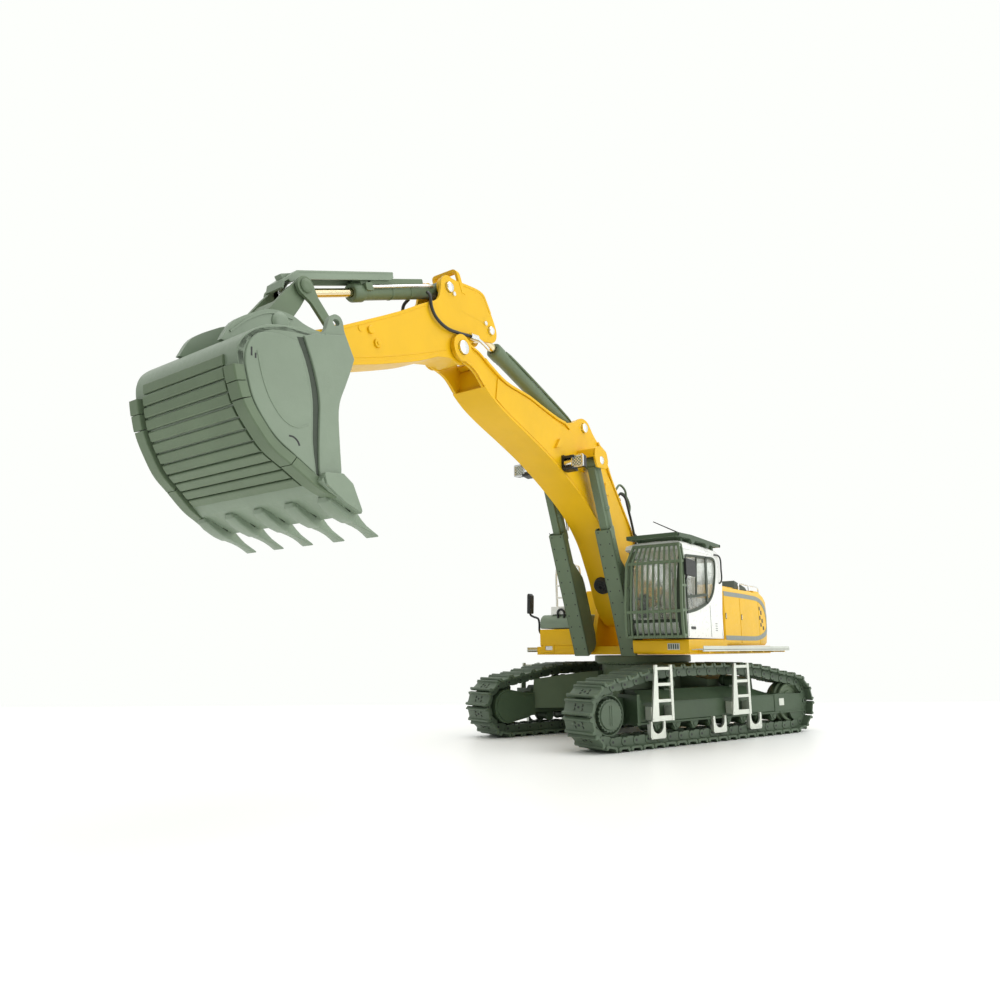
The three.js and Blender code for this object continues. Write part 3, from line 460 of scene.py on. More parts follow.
# ------------------------------------------------------------------ tracks
TRACK_Y, SHOE_W, WB, ZC, SHOE_T, RAIL_T = 27.62, 13.2, 48.8, 11.15, 1.7, 2.7
RB = ZC - SHOE_T
key = [(x, ZC - RB) for x in range(-40, 41, 16)]
key += [(WB + RB * cos(radians(a)), ZC + RB * sin(radians(a))) for a in range(-90, 81, 17)]
key += [(42, 21.7), (34, 23.3), (25, 24.7), (14, 25.1), (0, 25.1), (-14, 25.1), (-25, 24.5), (-34, 23.1), (-42, 21.6)]
key += [(-WB + RB * cos(radians(a)), ZC + RB * sin(radians(a))) for a in range(100, 271, 17)]
base = smooth2(key, 40, True)
cum = [0.0]
for a, b_ in zip(base, base[1:] + base[:1]):
    cum.append(cum[-1] + hypot(b_[0] - a[0], b_[1] - a[1]))
LOOP = cum[-1]


def on_loop(s):
    s %= LOOP
    lo, hi = 0, len(cum) - 1
    while hi - lo > 1:
        mid = (lo + hi) // 2
        if cum[mid] <= s:
            lo = mid
        else:
            hi = mid
    t = (s - cum[lo]) / max(1e-9, cum[lo + 1] - cum[lo])
    a, c = base[lo], base[(lo + 1) % len(base)]
    return (a[0] + (c[0] - a[0]) * t, a[1] + (c[1] - a[1]) * t)


NSHOE = 48
PITCH = LOOP / NSHOE
SHOE = [(-2.62, 0.62), (-2.66, 1.15), (-2.45, 1.62), (-2.05, 1.70), (-1.78, 1.5), (-1.62, 0.98), (-1.2, 0.72), (1.15, 0.72), (1.5, 0.95),
        (1.66, 1.4), (1.95, 1.58), (2.2, 1.5), (2.36, 1.05), (2.62, 0.62), (2.62, 0.34), (2.1, 0.02), (-1.9, 0.02), (-2.3, 0.34)]
LINK = rounded([(-1.9, 0.2), (2.35, 0.2), (2.55, -1.2), (1.7, -2.75), (-1.0, -2.75), (-1.9, -1.9)], [0.3, 0.3, 1.0, 1.1, 0.9, 0.7], 4)
BOSS = ring2((-2.35, -1.35), 1.28, 18)


def shoe_track(side, fl):
    fr = flipped(tr) if fl else tr
    P = Piece(fr)
    for i in range(NSHOE):
        a, c = on_loop((i - 0.5) * PITCH), on_loop((i + 0.5) * PITCH)
        mid = ((a[0] + c[0]) / 2, (a[1] + c[1]) / 2)
        l = hypot(c[0] - a[0], c[1] - a[1])
        u = ((c[0] - a[0]) / l, (c[1] - a[1]) / l)
        o = (u[1], -u[0])
        wob = 0.02 * sin(i * 2.3)

        def W(t, h, y):
            return (mid[0] + u[0] * t + o[0] * h, y, max(0.0, mid[1] + u[1] * t + o[1] * h))

        def bar(outl, y0, y1, mi=0):
            P.mi = mi
            n = len(outl)
            P.put([W(t, h, y0) for t, h in outl] + [W(t, h, y1) for t, h in outl],
                  [list(range(n)), list(range(2 * n - 1, n - 1, -1))] + [[k, (k + 1) % n, (k + 1) % n + n, k + n] for k in range(n)])

        # shoe: full section in the middle, drawn in a little at its two ends
        hw = SHOE_W / 2
        secs = []
        for y, sx, sh in ((-hw, 0.93, 0.86), (-hw + 0.22, 1.0, 1.0), (-2.6, 1.0, 1.0), (2.6, 1.0, 1.0), (hw - 0.22, 1.0, 1.0), (hw, 0.93, 0.86)):
            secs.append([W(t * sx, 0.02 + (h - 0.02) * sh, TRACK_Y + y) for t, h in SHOE])
        P.mi = 0
        P.loft(secs)
        # four bolt heads, each ringed by a black disc painted as the shade in its pocket, and a centre mark
        for by in (-1.75, 1.75):
            for bt in (-0.62, 0.62):
                for rad, h0, h1, mi, nn in ((0.50, 0.70, 0.75, 1, 10), (0.33, 0.72, 0.98, 0, 6)):
                    P.mi = mi
                    rg = [(bt + rad * cos(2 * pi * k / nn), rad * sin(2 * pi * k / nn)) for k in range(nn)]
                    vs = [W(t, h0, TRACK_Y + by + yy) for t, yy in rg] + [W(t, h1, TRACK_Y + by + yy) for t, yy in rg]
                    P.put(vs, [list(range(nn)), list(range(2 * nn - 1, nn - 1, -1))] + [[k, (k + 1) % nn, (k + 1) % nn + nn, k + nn] for k in range(nn)])
        bar([(-0.28, 0.7), (0.28, 0.7), (0.28, 0.88), (-0.28, 0.88)], TRACK_Y - 0.35, TRACK_Y + 0.35, 1)
        # link cheeks, inner and outer, with pin bosses
        for s in (1, -1):
            y0, y1 = sorted((TRACK_Y + s * 2.75, TRACK_Y + s * 4.0))
            bar(LINK, y0, y1)
            y0, y1 = sorted((TRACK_Y + s * 1.9, TRACK_Y + s * 3.1))
            bar([(-2.9, -0.1), (-1.2, -0.1), (-1.2, -2.3), (-2.9, -2.3)], y0, y1)
            y0, y1 = sorted((TRACK_Y + s * 1.9, TRACK_Y + s * 4.18))
            bar(BOSS, y0, y1)
            y0, y1 = sorted((TRACK_Y + s * 4.1, TRACK_Y + s * 4.22))
            bar(ring2((-2.35, -1.35), 0.42, 10), y0, y1, 1)
        bar(ring2((-2.35, -1.35), 0.8, 10), TRACK_Y - 2, TRACK_Y + 2)
    P.done("track_links_" + side, "undercarriage", [TRK, BLK], bevel=0, replaces=("track_chain_" + side,))


both(shoe_track)


def running_gear(side, fl):
    fr = flipped(tr) if fl else tr
    yo = TRACK_Y
    # sprocket: toothed rim, ring with a sloped recess, scalloped cover with its slot bar
    P = Piece(fr)
    tooth = []
    for i in range(12):
        for d, r in ((-0.5, 6.7), (-0.34, 6.9), (-0.2, 7.9), (-0.1, 8.3), (0.1, 8.3), (0.2, 7.9), (0.34, 6.9)):
            a = (i + d) * pi / 6
            tooth.append((WB + r * cos(a), ZC + r * sin(a)))
    P.prism(tooth, yo - 1.2, yo + 1.2)
    P.turn((WB, yo + 1.0, ZC), (0, 1, 0), [(0, 0), (0, 6.2), (0.2, 6.5), (2.4, 6.5), (2.75, 6.35), (2.9, 6.1), (2.75, 5.9), (1.3, 5.55), (1.1, 0)], 48)
    P.turn((WB, yo - 1.0, ZC), (0, -1, 0), [(0, 0), (0, 6.2), (0.2, 6.4), (1.2, 6.4), (1.5, 6.1), (1.5, 0)], 48)
    P.done("sprocket_ring_" + side, "sprocket_%s_body" % side, TRK, bevel=0.1, replaces=("sprocket_" + side,))
    P = Piece(fr)
    sc = []
    for i in range(24):
        for d, r in ((-0.5, 4.72), (-0.3, 4.98), (-0.12, 5.12), (0.12, 5.12), (0.3, 4.98)):
            a = (i + d) * pi / 12
            sc.append((WB + r * cos(a), ZC + r * sin(a)))
    P.prism(sc, yo + 2.0, yo + 4.35)
    P.turn((WB, yo + 4.2, ZC), (0, 1, 0), [(0, 0), (0, 4.5), (0.35, 4.45), (0.55, 4.25), (0.6, 0)], 48)
    for dx in (-0.42, 0.42):
        P.prism(rounded([(WB + dx - 0.26, ZC - 3.1), (WB + dx + 0.26, ZC - 3.1), (WB + dx + 0.26, ZC + 3.1), (WB + dx - 0.26, ZC + 3.1)], 0.2, 3), yo + 4.7, yo + 4.92)
    P.done("sprocket_cover_" + side, "sprocket_%s_body" % side, TRK, bevel=0.08)
    # idler wheel with raised rims and hub rings
    P = Piece(fr)
    P.turn((-WB, yo - 3.4, ZC), (0, 1, 0), [(0, 0), (0, 2.2), (0.3, 2.4), (0.3, 4.2), (0.9, 4.5), (0.9, 6.0), (0.3, 6.3), (0.3, 6.9), (0.8, 7.3), (2.1, 7.3), (2.2, 8.0), (2.5, 8.25), (4.3, 8.25), (4.6, 8.0), (4.7, 7.3),
            (6.0, 7.3), (6.3, 6.95), (6.3, 6.3), (5.6, 6.0), (5.6, 4.5), (6.1, 4.2), (6.1, 2.4), (6.35, 2.2), (6.35, 0)], 56)
    P.done("idler_wheel_" + side, "idler_%s_body" % side, GRY, bevel=0.1, replaces=("idler_" + side,))

    # side frame: outer box, sloped shoulder, nose plate, idler yoke, brackets and rollers
    P = Piece(fr)

    def sec(x, zt, ys=28.4, yo_=31.7, zb=8.1, ze=14.4):
        return [(x, 23.5, zb), (x, yo_ - 0.25, zb), (x, yo_, zb + 0.25), (x, yo_, ze - 0.2), (x, yo_ - 0.18, ze), (x, ys, zt), (x, 23.5, zt)]

    P.loft([sec(-39.1, 14.42), sec(-22, 18.2), sec(34.3, 18.2)])
    P.loft([sec(36.6, 16.9, 30.4, 31.7, 8.1, 15.2), sec(34.2, 16.9, 30.4, 31.7, 8.1, 15.2)])
    P.prism(rounded([(35.6, 7.3), (36.9, 7.3), (36.9, 17.1), (35.6, 17.1)], 0.2, 2), 23.5, 32.15)
    P.box(-39.3, 37.2, 31.2, 32.2, 7.55, 8.15)
    P.box(-39.1, 34.3, 31.55, 31.95, 14.15, 14.5)
    # idler yoke block with a blank plate recess and half-round cover
    yk = [(-37.0, 8.0), (-37.0, 14.35), (-38.4, 14.75), (-53.8, 14.4), (-54.9, 13.6), (-55.0, 9.6), (-54.4, 7.9)]
    P.prism(rounded(yk, 0.4, 3), 30.2, 31.9)
    P.prism(rounded(yk, 0.4, 3), 23.4, 24.1)
    P.box(-40.6, -37.2, 23.5, 31.7, 8.2, 14.2)
    P.box(-55.2, -39.6, 31.3, 32.2, 7.5, 8.1)
    half = [(-50.6 + 4.0 * cos(a), 7.8 + 3.4 * sin(a)) for a in [pi + pi * k / 14 for k in range(15)]]
    P.prism(half, 30.6, 31.7)
    # arm and final drive housing on the inner side
    P.box(34.6, 40.4, 23.3, 26.0, 7.2, 16.0)
    dr = [(40, 15.6)] + [(WB + 6.1 * cos(a), ZC + 6.1 * sin(a)) for a in [pi / 2 - pi * k / 20 * 1.0 for k in range(21)]] + [(40, 6.6), (36.4, 8.0), (36.4, 15.6)]
    P.prism(dr[::-1], 21.6, 25.9)
    P.prism(inset(dr[::-1], 0.9), 21.3, 22.0)
    for x in (-36, -27, -18, -9, 0, 9, 18, 27):
        P.turn((x, yo - 3.75, 6.65), (0, 1, 0), [(0, 0), (0, 1.55), (0.25, 1.85), (1.1, 1.95), (1.3, 1.6), (6.2, 1.6), (6.4, 1.95), (7.25, 1.85), (7.5, 1.55), (7.5, 0)], 24)
        P.prism(rounded([(x - 2.5, 8.2), (x - 1.2, 5.6), (x + 1.2, 5.6), (x + 2.5, 8.2)], [0, 0.6, 0.6, 0], 3), 31.0, 31.75)
        P.turn((x, 31.7, 6.5), (0, 1, 0), [(0, 0), (0, 0.75), (0.25, 0.65), (0.3, 0)], 16)
    for x in (19, -16):
        P.turn((x, yo - 3.4, 20.2), (0, 1, 0), [(0, 0), (0, 1.5), (0.3, 1.9), (1.8, 1.9), (2.0, 1.5), (5.0, 1.5), (5.2, 1.9), (6.6, 1.9), (6.8, 1.5), (6.8, 0)], 24)
        P.box(x - 1.4, x + 1.4, yo - 1.2, yo + 1.2, 17.8, 20.3)
    P.done("side_frame_body_" + side, "undercarriage", FRM, bevel=0.14, replaces=("side_frame_" + side,))
    # blank plate on the idler yoke
    P = Piece(fr)
    P.prism(rounded([(-42.8, 10.3), (-39.8, 10.3), (-39.8, 12.9), (-42.8, 12.9)], 0.2, 3), 31.85, 32.0)
    P.done("blank_plate_" + side, "undercarriage", LAD, bevel=0.03)

    # chain guides: bright stirrups with a round cut-out and returned cheeks
    P = Piece(fr)
    for x in (28.2, -3.2, -23.5):
        o = [(x - 3.5, 8.5), (x - 3.6, 3.4), (x - 3.1, 2.8), (x + 3.1, 2.8), (x + 3.6, 3.4), (x + 3.5, 8.5)]
        arc = [(x + 2.55 * cos(a), 7.2 + 2.75 * sin(a)) for a in [-pi * k / 16 for k in range(17)]]
        P.prism(o + [(x + 2.6, 8.5)] + arc + [(x - 2.6, 8.5)], 32.15, 32.85)
        for s in (-1, 1):
            P.prism([(x + s * 3.6, 8.5), (x + s * 2.95, 8.5), (x + s * 2.95, 3.0), (x + s * 3.6, 3.3)], 31.3, 32.3)
        P.box(x - 3.3, x + 3.3, 31.6, 32.5, 2.8, 3.4)
        for s in (-1, 1):
            P.turn((x + s * 3.05, 32.8, 3.7), (0, 1, 0), [(0, 0), (0, 0.3), (0.12, 0.25), (0.15, 0)], 10)
    P.done("chain_stirrups_" + side, "undercarriage", LAD, bevel=0.1, replaces=("chain_guides_" + side,))

    # ladders: pressed frames with three openings, posts, rivets and stand-off feet
    for tag, x0, x1 in (("front", 22.7, 33.6), ("rear", -18.3, -7.3)):
        P = Piece(fr)
        # the rear stile is upright and narrow, the front one widens to the foot
        z0, z1 = 8.6, 25.9
        xi, xo, xt = x1 - 3.3, x1, x1 - 2.1
        P.prism([(x0 + 0.4, z0), (x0 + 1.6, z0), (x0 + 1.6, z1 + 0.6), (x0 + 0.4, z1 + 0.6)], 34.8, 35.5)
        P.prism([(xi, z0), (xo, z0), (xt, z1 + 0.6), (xi, z1 + 0.6)], 34.8, 35.5)
        for za, zb in ((8.65, 10.3), (14.5, 15.5), (19.7, 20.7), (24.8, 25.8)):
            P.box(x0 + 1.0, xi + 0.6, 34.86, 35.44, za, zb)
            P.box(x0 + 0.8, xi + 0.4, 33.9, 34.9, za + 0.2, za + 0.7)
        for x in (x0 + 0.2, x1 - 1.6):
            P.box(x, x + 1.4, 32.2, 34.9, 9.0, 13.2)
        for q in ((x0 + 1.5, 10.0), (x0 + 1.5, 12.9), (x1 - 0.7, 9.5)):
            P.turn((q[0], 35.45, q[1]), (0, 1, 0), [(0, 0), (0, 0.32), (0.14, 0.26), (0.18, 0)], 12)
        P.done("ladder_frame_%s_%s" % (side, tag), "undercarriage", LAD, bevel=0.08, replaces=("ladder_%s_%s" % (side, tag),))


both(running_gear)

# centre frame and slew ring
P = Piece(tr)
P.turn((0, 0, 9), (0, 0, 1), [(0, 0), (0, 12), (2.6, 12.2), (3.4, 15.5), (16.9, 15.5), (17.1, 15.3), (17.1, 0)], 72)
for sx in (1, -1):
    for sy in (1, -1):
        secs = []
        for t, xa, xb, zb, zt in ((0, 2, 15, 9.8, 23.6), (0.35, 4.0, 20, 9.8, 23.0), (0.7, 6, 27, 9.8, 21.8), (1.0, 9.5, 35.5, 9.8, 20.6)):
            y = sy * (9 + t * 14.3)
            secs.append([(sx * xa, y, zb), (sx * xb, y, zb), (sx * (xb + 0.5), y, (zb + zt) / 2), (sx * xb, y, zt), (sx * xa, y, zt)])
        P.loft(secs)
P.done("turret_frame", "undercarriage", GRY, bevel=0.2, replaces=("track_frame_center",))
P = Piece(tr)
P.turn((0, 0, 26.3), (0, 0, 1), [(0, 0), (0, 17.3), (0.5, 17.6), (0.5, 18.1), (0.8, 18.3), (2.7, 18.3), (3.0, 18.0), (3.0, 0)], 96)
for i in range(60):
    a = 2 * pi * i / 60
    P.turn((17.0 * cos(a), 17.0 * sin(a), 26.0), (0, 0, 1), [(0, 0), (0, 0.34), (0.4, 0.34), (0.4, 0)], 6)
P.done("slewing_ring", "undercarriage", GRY, bevel=0.08, replaces=("slew_ring",))
# ------------------------------------------------------------------ upper structure
CW_PROFILE = [(33.0, 62.0), (34.0, 63.2), (37, 65.4), (41, 66.5), (44, 66.8), (48, 66.7), (51, 66.2), (53.2, 65.0), (54.7, 63.2), (55.4, 61.2), (55.7, 59.0)]
CW_PLAN = [(-46.1, 31.6), (-55.0, 31.55)] + smooth2([(-57.2, 31.2), (-59.6, 30.0), (-61.4, 27.8), (-63.4, 23), (-65.2, 15), (-66.5, 5), (-66.5, -5), (-65.2, -15), (-63.4, -23), (-61.4, -27.8), (-59.6, -30.0), (-57.2, -31.2)], 3) + [(-55.0, -31.55), (-46.1, -31.6)]


def lerp_tab(tab, x):
    for (a, fa), (b_, fb) in zip(tab, tab[1:]):
        if x <= b_:
            return fa + (fb - fa) * max(0.0, (x - a) / (b_ - a))
    return tab[-1][1]


def side_y(x, z):
    """half width of the body side at x, z"""
    if x > -46:
        return 31.6
    k = (lerp_tab(CW_PROFILE, z) - 46) / 20.8
    xs = -46 + (x + 46) / k
    for a, b_ in zip(CW_PLAN, CW_PLAN[1:]):
        if b_[0] <= xs <= a[0]:
            return a[1] + (b_[1] - a[1]) * (a[0] - xs) / max(1e-6, a[0] - b_[0])
    return 31.6


# engine house with rounded shoulders and door panels
P = Piece()
prof = [(-31.3, 33.0), (-31.45, 34.5), (-31.45, 51.8)] + ring2((-28.2, 51.9), 3.25, 7, pi, pi / 2, True) + [(-26, 55.5), (26, 55.5)] + ring2((28.2, 51.9), 3.25, 7, pi / 2, 0, True) + [(31.45, 51.8), (31.45, 34.5), (31.3, 33.0)]
P.prism(prof, -45.7, -5.2, "yz")
P.done("engine_casing", "upper_structure", YEL, bevel=0.25, seg=3, replaces=("engine_house",))
P = Piece()
for k in (1, -1):
    for x0, x1 in ((-22.75, -5.7), (-45.5, -23.2)):
        P.prism(rounded([(x0, 33.7), (x1, 33.7), (x1, 52.6), (x0, 52.6)], 0.5, 3), *sorted((k * 31.3, k * 31.66)))
for x0, x1 in ((-22.75, -5.7), (-45.5, -23.2)):
    P.prism(rounded([(x0, -27.5), (x1, -27.5), (x1, 27.5), (x0, 27.5)], 0.8, 3), 55.3, 55.72, "xy")
P.done("engine_doors", "upper_structure", YEL, bevel=0.16, seg=3)

# counterweight: plan pulled in with height
P = Piece()
secs = []
for z, R in CW_PROFILE:
    k = (R - 46) / 20.8
    d = 0.0 if z < 53 else (0.7 if z < 54.5 else (1.7 if z < 55.5 else 3.6))
    if z <= 33.0:
        d = 0.6
    pl = [(-46.1, 31.6 - d)] + [(-46 + (x + 46) * k, y - d * (1 if y > 0 else -1) * min(1, abs(y) / 25)) for x, y in CW_PLAN[1:-1]] + [(-46.1, -31.6 + d)]
    secs.append([(x, y, z) for x, y in pl])
P.loft(secs)
P.done("counterweight_casting", "upper_structure", YEL, bevel=0.22, seg=3, angle=50, auto=50, replaces=("counterweight",))
P = Piece()
for k in (1, -1):
    P.turn((-56, k * 18, 55.4), (0, 0, 1), [(0, 0), (0, 1.6), (0.5, 1.6), (0.7, 1.3), (0.7, 0)], 28)
P.done("counterweight_lift_caps", "upper_structure", YEL, bevel=0.1)


# grey C-stripe, vents, door handles on both sides
def livery(side, fl):
    fr = flipped(up) if fl else up

    def warp_fn(p):
        return (p[0], side_y(p[0], p[2]) + p[1], p[2])

    P = Piece(fr, warp_fn)
    path = smooth2([(-5.8, 52.0), (-14, 52.05), (-23, 52.1), (-34, 52.05), (-45.0, 51.7), (-50.4, 50.4), (-54.2, 47.9), (-56.3, 44.2), (-56.2, 40.4), (-53.4, 38.0), (-48, 36.5), (-42, 35.75), (-34, 35.6), (-20, 35.6), (-5.8, 35.6)], 5)
    half = lambda i: 0.85 + 0.35 * max(0, 1 - abs(i / (len(path) - 1) - 0.52) / 0.22)
    n = offsets(path)
    secs = []
    for i, (p, m) in enumerate(zip(path, n)):
        h = half(i)
        a, b_ = (p[0] + m[0] * h, p[1] + m[1] * h), (p[0] - m[0] * h, p[1] - m[1] * h)
        secs.append([(a[0], -0.1, a[1]), (a[0], 0.12, a[1]), (b_[0], 0.12, b_[1]), (b_[0], -0.1, b_[1])])
    P.loft(secs)
    P.done("side_stripe_" + side, "upper_structure", STR, bevel=0)
    P = Piece(fr, warp_fn)
    for x, z, w, h in ((-47.0, 48.0, 1.3, 1.5), (-48.9, 46.3, 1.4, 1.7), (-47.2, 44.2, 1.4, 1.7), (-49.9, 43.0, 1.4, 1.7), (-48.0, 41.3, 1.4, 1.5), (-51.0, 40.0, 1.4, 1.5)):
        P.prism(rounded([(x - w / 2, z - h / 2), (x + w / 2, z - h / 2), (x + w / 2, z + h / 2), (x - w / 2, z + h / 2)], 0.2, 2), -0.3, 0.07)
    for x in (-7.0, -24.4):
        P.prism(rounded([(x - 0.5, 42.6), (x + 0.5, 42.6), (x + 0.5, 44.8), (x - 0.5, 44.8)], 0.2, 2), -0.2, 0.14)
    for k in range(7):
        x = -41.5 + 2.4 * k
        P.prism(rounded([(x - 0.75, 38.4), (x + 0.75, 38.4), (x + 0.75, 39.0), (x - 0.75, 39.0)], 0.15, 2), -0.2, 0.09) if fl else None
    P.done("side_vents_" + side, "upper_structure", BLK, bevel=0)
    P = Piece(fr, warp_fn)
    for x in (-7.0, -24.4):
        P.prism(rounded([(x - 0.22, 42.9), (x + 0.22, 42.9), (x + 0.22, 44.5), (x - 0.22, 44.5)], 0.1, 2), 0.1, 0.3)
    P.done("door_handles_" + side, "upper_structure", SIL, bevel=0.04)


both(livery)

# hood, exhaust and low rails on the engine roof
P = Piece()
P.loft([[(x, -w, 55.4), (x, w, 55.4), (x, w, z1), (x, w - 2.2, z1 + 1.7), (x, -w + 2.2, z1 + 1.7), (x, -w, z1)] for x, w, z1 in ((-44, 11.4, 56.6), (-43.2, 11.8, 57.6), (-20, 11.8, 58.0), (-17.5, 10.6, 57.0))])
for k in range(9):
    x = -41.5 + 2.4 * k
    P.box(x, x + 1.0, -8.6, 8.6, 58.8, 59.95)
P.done("hood_shell", "upper_structure", DRK, bevel=0.25, seg=3, replaces=("engine_hood",))
P = Piece()
P.box(-17.0, -7.0, -9.5, 9.5, 55.4, 57.6)
P.cyl((-24, 17.5, 55.4), (-24, 17.5, 59.0), 2.0, 28)
P.tube([(-24, 17.5, 58.6), (-24, 17.5, 60.6), (-25.4, 17.5, 61.8), (-27.4, 17.5, 62.0)], 1.2, 16, 5)
P.loft([[(-28, 19, 55.4), (-28, 28, 55.4), (-30.5, 27.5, 58.8), (-30.5, 19.5, 58.8)], [(-44, 19, 55.4), (-44, 28, 55.4), (-43, 27.5, 56.8), (-43, 19.5, 56.8)]])
P.done("exhaust_and_intake", "upper_structure", DRK, bevel=0.25, seg=3)
P = Piece()
for y in (29.2, -29.2):
    P.tube([(-30, y, 55.0), (-30, y, 56.9), (-31, y, 57.4), (-42, y, 57.4), (-54, y, 57.2), (-55, y, 56.6), (-55, y, 55.2)], 0.3, 10, 4)
    P.cyl((-42.5, y, 55.2), (-42.5, y, 57.4), 0.28, 10, 0.05)
P.done("roof_rails", "upper_structure", SIL, bevel=0)

# catwalks: folded tread plates with a lip and raised studs
for side, k, xa, xb, ya, yb in (("left", 1, -60, 35.5, 34.7, 39.0), ("right", -1, -58, 26, 31.9, 36.4)):
    P = Piece()
    P.prism([(k * (32.3 if k > 0 else 31.9), 31.5), (k * yb, 31.5), (k * yb, 30.7), (k * (yb - 0.5), 30.7), (k * (yb - 0.5), 31.2), (k * (32.3 if k > 0 else 31.9), 31.2)], xa, (1.0 if k > 0 else xb), "yz")
    if k > 0:
        P.prism([(34.8, 31.5), (yb, 31.5), (yb, 30.7), (yb - 0.5, 30.7), (yb - 0.5, 31.2), (34.8, 31.2)], 0.9, xb, "yz")
    P.box(xa, xb, *sorted((k * (yb - 0.28), k * yb)), 31.2, 32.5)
    x = xa + 1.2
    while x < xb - 1:
        for j in range(3):
            y = ya + 0.9 + j * 1.15
            P.turn((x + 0.6 * (j % 2), k * y, 31.45), (0, 0, 1), [(0, 0), (0, 0.28), (0.16, 0.2), (0.18, 0)], 6)
        x += 1.7
    P.done("tread_plate_" + side, "upper_structure", LAD, bevel=0.07, replaces=("catwalk_" + side,))
    P = Piece()
    for x in range(int(xa) + 4, int(xb) - 2, 14):
        P.box(x, x + 1.2, *sorted((k * 31.0, k * (yb - 0.7))), 30.2, 31.2)
    P.done("tread_brackets_" + side, "upper_structure", YEL, bevel=0.1)

# yellow sill box below the cab with a blank grille plate and a lamp
P = Piece()
sill = rounded([(1.2, 30.1), (36.2, 30.1), (36.6, 34.6), (1.2, 34.8)], [0.3, 0.8, 0.8, 0.3], 3)
P.prism(sill, 14.3, 34.4)
P.box(-5.0, 1.4, 14.3, 31.4, 32.6, 34.6)
P.done("cab_sill", "upper_structure", YEL, bevel=0.25, seg=3)
P = Piece()
P.box(36.4, 36.75, 27.0, 31.2, 31.3, 33.4)
P.done("sill_grille_frame", "upper_structure", LAD, bevel=0.05)
P = Piece()
for i in range(5):
    P.box(36.5, 36.82, 27.3 + 0.78 * i, 27.75 + 0.78 * i, 31.55, 33.15)
P.done("sill_grille", "upper_structure", DRK, bevel=0)

# right tank box with a lamp recess and grey rounded cover, step box, rails, mirror
P = Piece()
P.prism(rounded([(-4.6, 32.9), (26.9, 32.9), (27.0, 39.2), (-4.6, 39.2)], [0.2, 0.6, 0.2, 0.2], 3), -29.6, -12.9)
P.prism(rounded([(20.5, 30.2), (26.8, 30.2), (26.9, 33.0), (20.5, 33.0)], 0.3, 2), -29.4, -13.2)
P.prism(rounded([(-27.9, 30.7), (-23.4, 30.7), (-23.4, 33.6), (-27.9, 33.6)], 0.4, 3), 26.7, 27.1, "yz", holes=[rounded([(-27.3, 31.3), (-24.0, 31.3), (-24.0, 33.0), (-27.3, 33.0)], 0.3, 3)])
P.done("tank_casing", "upper_structure", YEL, bevel=0.3, seg=3, replaces=("right_tank_box",))
P = Piece()
P.box(26.6, 26.95, -27.2, -24.1, 31.4, 32.9)
P.done("tank_lamp", "upper_structure", LNS, bevel=0.1)
P = Piece()
cov = [(-4.6, 39.5), (27.0, 39.5), (27.0, 41.6)] + ring2((23.8, 41.5), 3.3, 8, 0.1, pi / 2, True) + [(-4.6, 44.9)]
P.prism(cov, -29.6, -12.9)
P.done("tank_cover", "upper_structure", BKT, bevel=0.5, seg=4, replaces=("right_box_cover",))
P = Piece()
P.prism(rounded([(17.4, -25.5), (25.8, -25.5), (25.8, -13.8), (17.4, -13.8)], 0.8, 3), 44.8, 47.8, "xy")
P.done("step_housing", "upper_structure", WHT, bevel=0.2, replaces=("step_box",))
P = Piece()
P.tube([(26.4, -21.6, 43.4), (26.5, -21.7, 45.6), (26.5, -20.8, 46.5), (26.5, -19.8, 46.5), (26.5, -18.9, 45.6), (26.4, -19.0, 43.4)], 0.45, 12, 5)
P.done("cover_handle", "upper_structure", BLK, bevel=0)
P = Piece()
P.tube([(22, -24.7, 47.4), (22, -24.7, 61.9), (22, -24.0, 63.1), (22, -15.1, 63.1), (22, -14.4, 61.9), (22, -14.4, 47.4)], 0.45, 12, 5)
for z in (56.0, 51.4):
    P.cyl((22, -24.7, z), (22, -14.4, z), 0.38, 12, 0.05)
P.done("grab_rails_right", "upper_structure", WHT, bevel=0, replaces=("handrail_right",))
P = Piece()
P.tube([(26.2, -29.3, 37.2), (26.2, -30.3, 38.6), (26.2, -30.4, 41.6), (26.2, -30.9, 43.4), (26.2, -33.0, 44.2), (26.2, -34.4, 45.0), (26.2, -34.6, 46.8)], 0.42, 12, 6)
P.prism(rounded([(-35.4, 45.4), (-33.9, 45.4), (-33.7, 52.4), (-34.6, 53.4), (-35.2, 52.8)], 0.5, 4), 24.6, 27.4, "yz")
P.done("mirror_arm", "upper_structure", BLK, bevel=0.25, seg=3, replaces=("mirror_right",))
P = Piece()
P.prism(rounded([(-35.2, 45.9), (-34.1, 45.9), (-33.9, 52.0), (-34.6, 52.7), (-35.1, 52.2)], 0.4, 4), 24.4, 24.7, "yz")
P.done("mirror_glass", "upper_structure", CHR, bevel=0.04)

# ------------------------------------------------------------------ cab
WIN = [(34.9, 43.0), (34.9, 62.6)] + smooth2([(33.4, 62.9), (24.3, 63.4), (15.1, 63.8), (9.4, 63.9), (7.4, 63.0), (7.0, 60.2), (8.2, 55.2), (10.2, 51.2), (14.1, 48.0), (21.2, 45.5), (27.8, 44.0)], 3)
WALL = rounded([(34.9, 35.1), (4.1, 35.1), (2.7, 42.3), (0.9, 55.4), (3.0, 65.2), (36.0, 65.6), (35.6, 62.6), (34.9, 55)], [0.6, 0.8, 3, 4, 2.0, 0.8, 0.1, 0.1], 4)
WIN_IN = inset(WIN, -0.0)


def shrink(o, d):
    c = (sum(p[0] for p in o) / len(o), sum(p[1] for p in o) / len(o))
    a = sum(o[i - 1][0] * o[i][1] - o[i][0] * o[i - 1][1] for i in range(len(o)))
    return inset(o, d if a > 0 else -d)


P = Piece()
for y0, y1 in ((32.9, 33.75), (13.95, 14.8)):
    P.prism(WALL, y0, y1, holes=[shrink(WIN, 0.15)])
